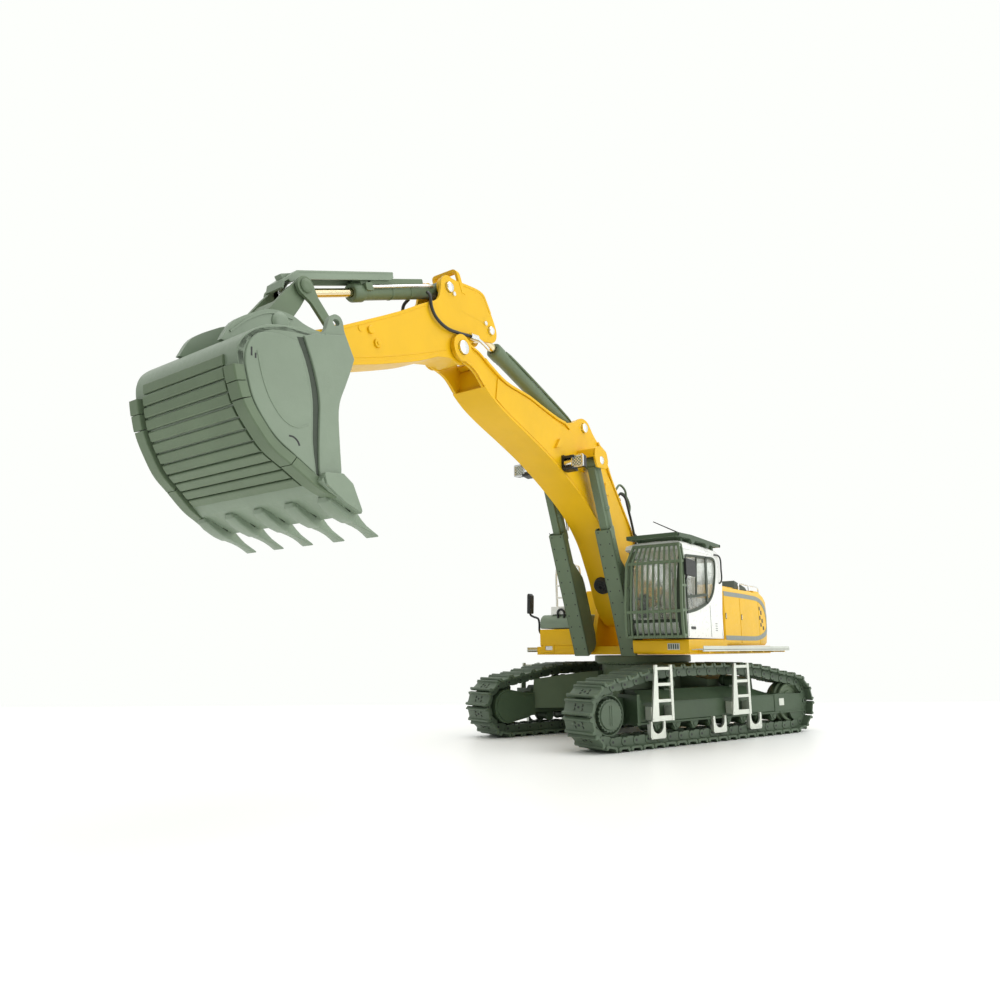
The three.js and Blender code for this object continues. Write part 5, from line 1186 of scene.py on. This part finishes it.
P.strip([(163.4, 105.9), (167.5, 103.2), (171.5, 101.4)], -4.6, 4.6, -0.1, 0.7)
# lower lip line along the side and the bosses beside the nose
for s in (1, -1):
    P.strip(smooth2([(124, 113.2), (131, 110.3), (140, 106.6), (150, 102.8), (160, 99.4), (166, 97.2)], 3), *sorted((s * 4.4, s * 4.62)), -0.14, 0.14)
P.done("stick_flanges", "stick_body", YEL, bevel=0.14, seg=3)
P = Piece()
for s in (1, -1):
    P.turn((153.1, s * 4.4, 108.8), (0, s, 0), [(0, 0), (0, 1.0), (0.5, 1.0), (0.62, 0.85), (0.62, 0)], 28)
    P.turn((150.6, s * 4.4, 106.1), (0, s, 0), [(0, 0), (0, 1.15), (0.5, 1.15), (0.62, 1.0), (0.62, 0)], 28)
    P.turn((150.6, s * 4.9, 106.1), (0, s, 0), [(0, 0), (0, 0.55), (0.35, 0.5), (0.4, 0)], 20)
    P.turn((156.4, s * 4.4, 108.1), (0, s, 0), [(0, 0), (0, 0.8), (0.2, 0.8), (0.3, 0.7), (0.3, 0)], 24)
P.done("stick_bosses", "stick_body", YEL, bevel=0.1)
P = Piece(up, lambda p: (p[0] + (p[2] - 132.6) * 0.5, p[1], p[2]))
ho = rounded([(-4.65, 132.8), (-4.65, 139.2), (4.65, 139.2), (4.65, 132.8)], [0, 1.5, 1.5, 0], 6)
hi = rounded([(3.75, 132.8), (3.75, 138.4), (-3.75, 138.4), (-3.75, 132.8)], [0, 0.9, 0.9, 0], 6)
P.prism(ho + hi, 115.9, 117.5, "yz")
P.done("stick_hoop", "stick_body", YEL, bevel=0.14, seg=3)


def stick_pins(side, fl):
    P = Piece(flipped(up) if fl else up)
    P.pin(P_TOP, 2.6, 5.5, 1.45, 28, 0.4)
    P.pin(P_REAR, 2.6, 5.5, 1.25, 28, 0.4)
    P.turn((121.2, 4.4, 131.0), (0, 1, 0), [(0, 0), (0, 0.7), (0.5, 0.65), (0.5, 0)], 8)
    P.turn((106.4, 4.4, 127.4), (0, 1, 0), [(0, 0), (0, 0.75), (0.5, 0.7), (0.5, 0)], 8)
    P.done("stick_pins_" + side, "stick_body", SIL, bevel=0, replaces=("bucket_cylinder_pin",) if not fl else ())


both(stick_pins)
# bright ferrules and hose loop on the stick heel
P = Piece()
for s in (1, -1):
    P.tube([(131.2, s * 3.4, 127.9), (131.7, s * 4.9, 126.2), (131.6, s * 5.3, 123.2), (130.4, s * 5.4, 121.1), (128.0, s * 5.4, 119.7), (124.6, s * 5.4, 119.0), (120.5, s * 5.4, 119.3), (115.0, s * 5.4, 120.2)], 0.46, 12, 7)
P.done("stick_hose_loops", "stick_body", RUB, bevel=0)
P = Piece()
for s in (1, -1):
    P.tube([(114.9, s * 5.4, 120.2), (111.6, s * 5.4, 120.6)], 0.95, 14, 1)
    P.tube([(111.8, s * 5.4, 120.6), (108.6, s * 5.2, 120.2), (105.6, s * 5.0, 119.4)], 0.5, 12, 4)
P.done("hose_ferrules", "stick_body", SIL, bevel=0)

# ------------------------------------------------------------------ bucket cylinder
bc = Line(P_TOP, P_JOINT)
d = (bc.u[0], 0, bc.u[1])
P = Piece()
P.turn(bc.p3(1.4), d, [(0, 0), (0, 1.6), (0.8, 2.0), (29.6, 2.0), (29.9, 2.15), (30.4, 2.4), (33.4, 2.4), (33.9, 2.1), (33.9, 1.2), (32.8, 1.2)], 40)
for a, b_ in ((13.4, 0.5), (20.9, 0.5)):
    P.turn(bc.p3(a), d, [(0, 1.8), (0, 2.12), (b_, 2.12), (b_, 1.8)], 40)
P.turn((P_TOP[0], -2.2, P_TOP[1]), (0, 1, 0), [(0, 0), (0, 2.2), (0.3, 2.4), (4.1, 2.4), (4.4, 2.2), (4.4, 0)], 32)
P.prism(rounded([bc.at(8.2, 1.5), bc.at(29, 1.5), bc.at(29.4, 3.0), bc.at(8.0, 3.0)], 0.4, 3), -2.1, 2.1)
P.prism(rounded([bc.at(29.8, 1.0), bc.at(32.6, 1.0), bc.at(32.6, 3.3), bc.at(29.8, 3.3)], 0.4, 3), -1.8, 1.8)
for s in (1, -1):
    P.prism(rounded([bc.at(29.6, -0.2), bc.at(32.2, -0.2), bc.at(32.2, 1.8), bc.at(29.6, 1.8)], 0.5, 3), *sorted((s * 1.6, s * 3.0)))
P.done("bucket_barrel_tube", "bucket_barrel", GRY, bevel=0.12, replaces=("bucket_cylinder_barrel",))
P = Piece()
for s in (1, -1):
    P.tube([bc.p3(4.4, 0.8, s * 2.0), bc.p3(6, 0.9, s * 2.6), bc.p3(28, 0.8, s * 2.6), bc.p3(30, 0.8, s * 2.6)], 0.42, 12, 6)
P.done("bucket_barrel_pipes", "bucket_barrel", SIL, bevel=0)
P = Piece()
P.turn(bc.p3(24), d, [(0, 0), (0, 1.1), (bc.l - 25.8, 1.1), (bc.l - 25.8, 0)], 32)
P.done("bucket_rod_bar", "bucket_rod", BRS, bevel=0, replaces=("bucket_cylinder_rod",))
P = Piece()
P.turn((P_JOINT[0], -1.3, P_JOINT[1]), (0, 1, 0), [(0, 0), (0, 1.9), (0.2, 2.05), (2.4, 2.05), (2.6, 1.9), (2.6, 0)], 32)
P.prism(rounded([bc.at(bc.l - 3.4, -1.4), bc.at(bc.l + 0.4, -1.8), bc.at(bc.l + 0.4, 3.4), bc.at(bc.l - 3.0, 3.6)], 0.5, 3), -1.2, 1.2)
P.done("bucket_rod_eye", "bucket_rod", SIL, bevel=0.15)
# guard plate: flat channel over the rod with a folded nose
P = Piece()
gl = [bc.at(20.6, 3.9), bc.at(53.4, 3.9), bc.at(58.0, 1.9), bc.at(58.8, 0.4)]
P.strip(gl, -2.8, 2.8, 0.0, 0.62)
for s in (1, -1):
    P.prism([bc.at(20.8, 4.1), bc.at(53.2, 4.1), bc.at(56.8, 2.5), bc.at(56.2, 1.8), bc.at(53.2, 2.5), bc.at(22.2, 2.4), bc.at(20.8, 3.0)], *sorted((s * 2.3, s * 2.8)))
P.prism(rounded([bc.at(bc.l - 4.0, 2.8), bc.at(bc.l + 1.4, 2.4), bc.at(bc.l + 2.0, 4.2), bc.at(bc.l - 4.4, 4.5)], 0.3, 3), -1.1, 1.1)
P.done("bucket_guard_plate", "bucket_rod", BKT, bevel=0.16, seg=3, replaces=("bucket_rod_guard",))
# ------------------------------------------------------------------ bucket
def half_w(x):
    return 23.6 - 0.27 * (x - 176)


BSH = smooth2([(177.0, 60.9), (181.8, 62.8), (187.1, 66.4), (190.7, 68.9), (193.5, 72.3), (195.9, 76.0), (197.2, 79.6), (198.0, 83.0), (198.3, 85.6), (197.7, 87.9), (196.0, 90.0), (193.2, 91.9), (189.6, 92.7), (184.6, 93.0), (179, 92.8)], 5)


def arc_len(pts):
    c = [0.0]
    for a, b_ in zip(pts, pts[1:]):
        c.append(c[-1] + hypot(b_[0] - a[0], b_[1] - a[1]))
    return c


BC = arc_len(BSH)


def on_shell(s):
    for i in range(len(BC) - 1):
        if BC[i + 1] >= s or i == len(BC) - 2:
            t = (s - BC[i]) / (BC[i + 1] - BC[i])
            a, c = BSH[i], BSH[i + 1]
            l = hypot(c[0] - a[0], c[1] - a[1])
            return (a[0] + (c[0] - a[0]) * t, a[1] + (c[1] - a[1]) * t), ((c[0] - a[0]) / l, (c[1] - a[1]) / l)


# outer skin: curved sheet across the full tapering width; outward is to the right of the direction of travel
P = Piece()
secs = []
nrm = offsets(BSH)
for p, m in zip(BSH, nrm):
    q = (p[0] + m[0] * 1.2, p[1] + m[1] * 1.2)
    w, w2 = half_w(p[0]) - 0.1, half_w(q[0]) - 0.1
    secs.append([(p[0], -w, p[1]), (p[0], w, p[1]), (q[0], w2, q[1]), (q[0], -w2, q[1])])
P.loft(secs)
P.done("bucket_skin", "bucket_body", BKT, bevel=0.1, replaces=("bucket",))

# cross wear bars: bars run from near the lip up the back, with narrow gaps
P = Piece()
s, n_bars = 5.6, 12
S_TOP = 0.0
end_s = 34.8
pitch = (end_s - s) / n_bars
for i in range(n_bars):
    a = s + i * pitch
    p0, u0 = on_shell(a + 0.16)
    p1, u1 = on_shell(a + pitch - 0.16)
    l = hypot(p1[0] - p0[0], p1[1] - p0[1])
    u = ((p1[0] - p0[0]) / l, (p1[1] - p0[1]) / l)
    o = (u[1], -u[0])
    h = 0.75
    wa, wb = half_w(p0[0]) - 3.9, half_w(p1[0]) - 3.9
    if i == n_bars - 1:
        h = 0.6
    sec = []
    for t, hh in ((0, -0.4), (0.0, h * 0.75), (0.22, h), (l - 0.22, h), (l, h * 0.75), (l, -0.4)):
        x, z = p0[0] + u[0] * t + o[0] * hh, p0[1] + u[1] * t + o[1] * hh
        w = wa + (wb - wa) * t / l
        sec.append((x, z, w))
    P.loft([[(x, -w, z) for x, z, w in sec], [(x, -w + 0.2, z) for x, z, w in sec], [(x, w - 0.2, z) for x, z, w in sec], [(x, w, z) for x, z, w in sec]])
P.done("bucket_wear_bars", "bucket_body", GRY, bevel=0.07)
# dark strip painted as the shade in the groove between the bars and the edge strips
P = Piece()
for sy in (1, -1):
    secs = []
    for k in range(31):
        a = 4.9 + (32.4 - 4.9) * k / 30
        p, u = on_shell(a)
        o = (u[1], -u[0])
        w1, w0 = half_w(p[0]) - 2.95, half_w(p[0]) - 3.85
        secs.append([(p[0] + o[0] * 0.06, sy * w0, p[1] + o[1] * 0.06), (p[0] + o[0] * 0.06, sy * w1, p[1] + o[1] * 0.06), (p[0] - o[0] * 0.3, sy * w1, p[1] - o[1] * 0.3), (p[0] - o[0] * 0.3, sy * w0, p[1] - o[1] * 0.3)])
    P.loft(secs)
P.done("bucket_bar_gap_shade", "bucket_body", DRK, bevel=0)
# segmented edge wear strips wrapped round the corners
P = Piece()
cuts = [1.2, 11.5, 25.6, 28.8, 31.9]
for sy in (1, -1):
    for j in range(len(cuts) - 1):
        a0, a1 = cuts[j] + 0.07, cuts[j + 1] - 0.07
        extra = 0.0 if j < 2 else (0.12 if j == 2 else 0.22)
        k = max(3, int((a1 - a0) * 1.2))
        secs = []
        for i in range(k + 1):
            p, u = on_shell(a0 + (a1 - a0) * i / k)
            o = (u[1], -u[0])
            w = half_w(p[0])
            H = 1.15 + extra
            yo_, yi = w + 0.42, w - 2.85
            secs.append([(p[0] - o[0] * 0.9, sy * yo_, p[1] - o[1] * 0.9), (p[0] + o[0] * (H - 0.25), sy * yo_, p[1] + o[1] * (H - 0.25)), (p[0] + o[0] * H, sy * (yo_ - 0.25), p[1] + o[1] * H),
                         (p[0] + o[0] * H, sy * (yi + 0.15), p[1] + o[1] * H), (p[0] + o[0] * (H - 0.15), sy * yi, p[1] + o[1] * (H - 0.15)), (p[0] - o[0] * 0.3, sy * yi, p[1] - o[1] * 0.3)])
        P.loft(secs)
P.done("bucket_edge_strips", "bucket_body", GRY, bevel=0.06)

# side walls: cheek plate with the mouth edge and lobe, D panel proud of it behind a groove whose shade is painted as a
# dark sheet
CHEEK = smooth2([(177.3, 61.4), (182.0, 62.9), (187.2, 66.5), (190.8, 69.2), (193.5, 72.5), (195.9, 76.2), (197.1, 79.8), (197.9, 83.2), (198.2, 85.8), (197.4, 88.0), (195.4, 90.2), (193.2, 91.4)], 4)
CHEEK += [(189.8, 92.4), (186.8, 92.3)] + smooth2([(184.8, 92.3), (183.0, 92.8), (181.7, 94.1), (181.3, 95.9), (180.8, 97.2), (179.9, 97.9), (178.8, 97.6), (178.2, 96.6), (177.9, 95.0)], 3)
CHEEK += [(175.6, 89.2)] + smooth2([(176.6, 85.8), (177.5, 82.8), (178.3, 80.2), (178.5, 77.6), (178.1, 72), (177.5, 66)], 3)
DPAN = [(182.7, 64.4)] + smooth2([(187.0, 67.6), (190.3, 70.1), (192.9, 73.2), (195.1, 76.9), (196.2, 80.3), (196.9, 83.4), (196.9, 86.0), (196.3, 87.9), (195.0, 89.6), (193.2, 90.4), (191.0, 90.6)], 4) + [(187.3, 90.0)]
DPAN += smooth2([(186.2, 86.6), (185.1, 83.0), (184.3, 79.4), (184.0, 75.6), (183.8, 71)], 4)
SLOT_HOLE = ring2((179.6, 96.2), 0.72, 18)


def bucket_side(side, fl):
    fr = flipped(up) if fl else up
    lean = lambda p: (p[0], p[1] - 0.27 * (p[0] - 176), p[2])
    P = Piece(fr, lean)
    P.prism(CHEEK, 22.3, 23.5, holes=[SLOT_HOLE])
    P.done("bucket_cheek_" + side, "bucket_body", BKT, bevel=0.16)
    P = Piece(fr, lean)
    P.prism(DPAN[::-1], 23.4, 23.86)
    P.done("bucket_side_panel_" + side, "bucket_body", BKT, bevel=0.22, seg=3)
    # dark sheet painted as the shade in the groove behind the mouth plate, opening towards the top
    P = Piece(fr, lean)
    g1 = [(187.4, 91.0), (185.5, 86.6), (184.3, 82.4), (183.7, 78.8), (183.5, 75.2), (183.3, 70.6), (182.3, 64.4)]
    g0 = [(186.2, 91.2), (184.3, 86.4), (183.1, 82.2), (182.5, 78.6), (182.4, 75.0), (182.3, 70.4), (181.8, 64.2)]
    P.prism(smooth2(g1, 3) + smooth2(g0[::-1], 3), 23.45, 23.55)
    P.done("bucket_mouth_gap_shade_" + side, "bucket_body", DRK, bevel=0)
    # mouth plate: thicker strip from the top corner to the lip
    P = Piece(fr, lean)
    mouth = smooth2([(186.3, 91.4), (184.4, 86.4), (183.2, 82.2), (182.6, 78.6), (182.5, 75.0), (182.4, 70.4), (181.9, 64.2), (181.3, 62.9)], 3)
    mouth += [(177.5, 61.6)] + smooth2([(177.6, 66), (178.2, 72), (178.6, 77.6), (178.3, 80.2), (177.5, 82.8), (176.6, 85.8)], 3) + [(175.7, 89.2), (177.8, 93.9), (181.9, 92.9), (183.8, 92.6)]
    P.prism(mouth, 23.4, 24.0)
    P.done("bucket_mouth_plate_" + side, "bucket_body", BKT, bevel=0.2, seg=3)
    # raised arc inside the panel; two slots and the curved slot low down, drawn as black strips painted as the shade
    # inside them
    P = Piece(fr, lean)
    arc = smooth2([(194.9, 86.2), (193.4, 80.6), (191.4, 76.4), (188.9, 73.6), (186.6, 72.9), (184.7, 73.8)], 5)
    P.strip(arc, 23.8, 23.98, -0.16, 0.16)
    P.done("bucket_panel_bead_" + side, "bucket_body", BKT, bevel=0.07)
    # black strips painted as the shade inside the two slots and the curved slot
    P = Piece(fr, lean)
    P.strip([(196.0, 86.6), (195.9, 84.9)], 23.8, 23.9, -0.14, 0.14)
    P.strip([(195.2, 85.6), (195.15, 84.6)], 23.8, 23.9, -0.14, 0.14)
    P.strip(smooth2([(188.2, 71.0), (187.4, 70.9), (186.6, 70.3), (186.1, 69.4)], 4), 23.8, 23.9, -0.16, 0.16)
    P.done("bucket_drain_slot_shade_" + side, "bucket_body", BLK, bevel=0)


both(bucket_side)

# ears that carry both pins, cross tube at the mouth and the two round stiffeners on the back
EAR = smooth2([(195.6, 91.0), (193.3, 95.5), (188.3, 99.4), (185.8, 100.9), (182.8, 101.8), (179.1, 102.0), (176.0, 101.2), (173.2, 100.9), (170.6, 100.9), (168.2, 99.9), (167.3, 97.8), (168.1, 95.5), (170.6, 94.6), (174.6, 92.6)], 4) + [(180, 91.0), (188, 91.0)]
P = Piece()
for y0, y1 in ((6.5, 7.9), (-7.9, -6.5)):
    P.prism(EAR, y0, y1, holes=[ring2(P_BUCKET, 1.5, 20)])
for s in (1, -1):
    P.turn((P_LINK[0], s * 7.7, P_LINK[1]), (0, s, 0), [(0, 0), (0, 2.25), (0.35, 2.3), (0.55, 2.1), (0.9, 1.35), (0.95, 0)], 32)
    P.turn((P_BUCKET[0], s * 7.7, P_BUCKET[1]), (0, s, 0), [(0, 1.55), (0, 2.4), (0.45, 2.4), (0.6, 2.2), (0.6, 1.55)], 32)
    P.strip(smooth2([(193.8, 93.2), (189.5, 97.6), (184.5, 100.6), (179, 101.2)], 5), s * 7.9 if s > 0 else s * 8.15, s * 8.15 if s > 0 else s * 7.9, -0.2, 0.2)
P.turn((179.2, -22.4, 92.0), (0, 1, 0), [(0, 0), (0, 1.5), (44.8, 1.5), (44.8, 0)], 28)
P.prism(rounded([(176.8, 89.8), (181.5, 90.6), (182.2, 93.2), (177.6, 93.2)], 0.6, 3), -22.4, 22.4)
P.done("bucket_ears", "bucket_body", BKT, bevel=0.18, seg=3)

# lip plate, adapters and forked teeth
P = Piece()
lip = rounded([(171.9, 57.9), (176.0, 59.3), (180.2, 61.3), (182.6, 63.0), (181.9, 64.2), (177.2, 62.7), (172.6, 60.1)], 0.3, 2)
P.prism(lip[::-1], -23.7, 23.7)
for s in (1, -1):
    P.prism(rounded([(171.9, 57.9), (176.8, 59.6), (181.6, 62.4), (182.4, 64.6), (177.6, 65.2), (175.0, 63.6)], 0.5, 3)[::-1], s * 22.9, s * 24.15)
P.done("bucket_lip", "bucket_body", BKT, bevel=0.2, seg=3)
P = Piece()
tl = Line((178.6, 61.4), (165.8, 54.4))
TILT = atan2(tl.u[1], tl.u[0])
for i in range(-2, 3):
    y = i * 10.1
    # adapter: rounded block that straddles the lip, narrowing to the tooth
    secs = []
    for s_, w, t0, t1 in ((-0.4, 1.2, -0.4, 1.2), (0.3, 1.75, -0.9, 1.75), (2.2, 1.95, -1.2, 2.0), (5.2, 1.95, -1.35, 1.9), (7.2, 1.75, -1.25, 1.55), (7.9, 1.45, -1.0, 1.2)):
        c = []
        for a, b_ in ((-1, t0), (1, t0), (1, t1), (-1, t1)):
            c.append((a, b_))
        pts = rounded([(a * w, b_) for a, b_ in c], 0.55, 3)
        secs.append([tl.p3(s_, q[1], y + q[0]) for q in pts])
    P.loft(secs)
    # side grooves cast beside each adapter
    for k in (-1, 1):
        P.loft([[tl.p3(s_, t, y + k * 2.0 + dy) for t, dy in ((-0.9, -0.22), (-0.9, 0.22), (-0.2, 0.22), (-0.2, -0.22))] for s_ in (1.4, 6.4)])
    # tooth: socket collar and a blade that flares into a forked tip
    secs = []
    for s_, w, t0, t1 in ((6.9, 1.35, -1.0, 1.3), (8.2, 1.3, -0.95, 1.1), (9.6, 1.1, -0.75, 0.75), (11.3, 1.15, -0.5, 0.4), (12.9, 1.45, -0.4, 0.15), (14.3, 1.75, -0.32, 0.02), (14.7, 1.7, -0.28, -0.02)):
        pts = rounded([(-w, t0), (w, t0), (w, t1), (-w, t1)], 0.18, 2)
        secs.append([tl.p3(s_, q[1], y + q[0]) for q in pts])
    P.loft(secs)
P.done("bucket_teeth", "bucket_body", BKT, bevel=0.1)
# dark slabs beside each adapter, painted as the shade down the adapter sides
P = Piece()
for i in range(-2, 3):
    y = i * 10.1
    for k in (-1, 1):
        P.loft([[tl.p3(s_, t, y + k * 1.97 + dy) for t, dy in ((-0.9, -0.14), (-0.9, 0.14), (0.45, 0.14), (0.45, -0.14))] for s_ in (0.9, 5.6)])
P.done("adapter_side_shade", "bucket_body", DRK, bevel=0)
P = Piece()
P.turn((P_BUCKET[0], -8.45, P_BUCKET[1]), (0, 1, 0), [(0, 0), (0, 1.1), (0.2, 1.38), (16.7, 1.38), (16.9, 1.1), (16.9, 0)], 24)
P.done("bucket_pivot_pin", "bucket_body", GRY, bevel=0, replaces=("bucket_pin",))

# tipping link: box piece with rounded ends
lk = Line(P_LINK, P_JOINT)
P = Piece()
L = lk.l
sd = rounded([lk.at(-1.9, 1.9), lk.at(-1.9, -1.9), lk.at(3, -2.7), lk.at(L - 4, -2.4), lk.at(L + 1.9, -1.7), lk.at(L + 1.9, 1.7), lk.at(L - 4, 2.4), lk.at(3, 2.7)], [1.7, 1.7, 1.5, 2, 1.5, 1.5, 2, 1.5], 5)
for s in (1, -1):
    P.prism(sd, *sorted((s * 3.5, s * 4.75)))
P.prism(rounded([lk.at(-1.2, 1.7), lk.at(-1.2, -1.7), lk.at(3, -2.35), lk.at(L - 6.6, -2.2), lk.at(L - 6.6, 2.2), lk.at(3, 2.35)], 0.6, 3), -3.6, 3.6)
P.turn((P_JOINT[0], -4.9, P_JOINT[1]), (0, 1, 0), [(0, 1.2), (0, 1.6), (1.4, 1.6), (1.4, 1.2)], 24)
P.turn((P_JOINT[0], 3.5, P_JOINT[1]), (0, 1, 0), [(0, 1.2), (0, 1.6), (1.4, 1.6), (1.4, 1.2)], 24)
P.done("link_box", "tipping_link_body", GRY, bevel=0.18, seg=3, replaces=("tipping_link",))

# rockers: slender struts with round bosses
rk = Line(P_ROCK, P_JOINT)


def rocker(side, fl):
    P = Piece(flipped(up) if fl else up)
    L = rk.l
    o = []
    o += [rk.at(2.0 * cos(a), 2.0 * sin(a)) for a in [radians(d) for d in range(70, 291, 20)]]
    o += [rk.at(3.2, -1.25), rk.at(L - 3.6, -1.35)]
    o += [rk.at(L + 2.35 * cos(a), 2.35 * sin(a)) for a in [radians(d) for d in range(-115, 116, 15)]]
    o += [rk.at(L - 3.6, 1.35), rk.at(3.2, 1.25)]
    P.prism(o, 5.1, 6.05)
    P.turn((P_JOINT[0], 6.0, P_JOINT[1]), (0, 1, 0), [(0, 0), (0, 1.65), (0.35, 1.65), (0.6, 1.35), (0.7, 0.7), (0.7, 0)], 28)
    P.turn((P_ROCK[0], 6.0, P_ROCK[1]), (0, 1, 0), [(0, 0), (0, 1.3), (0.25, 1.25), (0.35, 0)], 24)
    P.done("rocker_strut_" + side, "rockers", GRY, bevel=0.16, seg=3, replaces=("rocker_" + side,))


both(rocker)

# ------------------------------------------------------------------ CAD nodes that show as they are
SLOT_MAT = {
    "yellow_paint": YEL, "grey_paint": GRY, "track_grey": TRK, "dark_plastic": DRK, "bright_metal": SIL,
    "chrome_rod": CHR, "white_plastic": WHT, "black_plastic": BLK, "clear_glazing": GLS, "seat_plastic": SEA,
}
slots = {s["node"]: s["material_slot"] for s in frame["record"]["subparts"]}
for name, ob in NODES.items():
    if not ob.hide_render:
        keep(name, SLOT_MAT[slots[name]])

# ------------------------------------------------------------------ floor, light and camera
fm, nt, b = new_mat("studio_floor")
n = noise(nt, 3.0, 2.0)
r = ramp(nt, n.outputs["Fac"], [(0.3, (0.88, 0.885, 0.875)), (0.7, (0.90, 0.905, 0.895))])
nt.links.new(r.outputs["Color"], b.inputs["Base Color"])
b.inputs["Roughness"].default_value = 0.42
b.inputs["Specular IOR Level"].default_value = 0.35
me = bpy.data.meshes.new("floor")
eye, ahead, side = (0.208963, 0.132894), (-0.8077, -0.5896), (-0.5896, 0.8077)
me.from_pydata([(eye[0] + ahead[0] * f + side[0] * g, eye[1] + ahead[1] * f + side[1] * g, -0.00002) for f, g in ((-2.0, 3.0), (0.463, 3.0), (0.463, -3.0), (-2.0, -3.0))], [], [[0, 1, 2, 3]])
me.materials.append(fm)
floor = bpy.data.objects.new("floor", me)
bpy.context.scene.collection.objects.link(floor)

world = bpy.data.worlds.new("studio")
bpy.context.scene.world = world
world.use_nodes = True
bg = world.node_tree.nodes["Background"]
wt = world.node_tree
wc = wt.nodes.new("ShaderNodeTexCoord")
wd = wt.nodes.new("ShaderNodeVectorMath")
wd.operation = "DOT_PRODUCT"
wd.inputs[1].default_value = (-0.74, -0.28, 0.62)
wt.links.new(wc.outputs["Generated"], wd.inputs[0])
wm = wt.nodes.new("ShaderNodeMapRange")
wm.inputs["From Min"].default_value = -0.75
wm.inputs["From Max"].default_value = 0.25
wt.links.new(wd.outputs["Value"], wm.inputs["Value"])
wr = ramp(wt, wm.outputs["Result"], [(0.0, (0.16, 0.165, 0.155)), (1.0, (0.985, 1.0, 0.972))])
wt.links.new(wr.outputs["Color"], bg.inputs["Color"])
bg.inputs["Strength"].default_value = 1.0


def area(name, loc, target, size, power, col=(1, 1, 1)):
    l = bpy.data.lights.new(name, "AREA")
    l.shape = "RECTANGLE"
    l.size, l.size_y = size
    l.energy = power
    l.color = col
    o = bpy.data.objects.new(name, l)
    o.location = loc
    o.rotation_mode = "QUATERNION"
    o.rotation_quaternion = (Vector(target) - Vector(loc)).to_track_quat("-Z", "Y")
    bpy.context.scene.collection.objects.link(o)


area("top_soft", (0.0, 0.15, 0.9), (0, 0, 0.05), (1.0, 1.0), 4.5)
area("side_soft", (-0.25, 1.0, 0.35), (0.0, 0.0, 0.07), (0.8, 0.6), 3.4)

cam = bpy.data.cameras.new("camera")
co = bpy.data.objects.new("camera", cam)
bpy.context.scene.collection.objects.link(co)
yaw, pit, rol = radians(216.13), radians(11.24), radians(-0.31)
fwd = Vector((cos(yaw) * cos(pit), sin(yaw) * cos(pit), sin(pit)))
right = fwd.cross(Vector((0, 0, 1))).normalized()
upv = right.cross(fwd)
r2, u2 = right * cos(rol) + upv * sin(rol), -right * sin(rol) + upv * cos(rol)
mw = Matrix((r2, u2, -fwd)).transposed().to_4x4()
mw.translation = Vector((0.208963, 0.132894, 0.031357))
co.matrix_world = mw
cam.sensor_width = 36
cam.lens = 27.27
cam.clip_start, cam.clip_end = 0.002, 50
bpy.context.scene.camera = co
bpy.context.scene.view_settings.view_transform = "Standard"
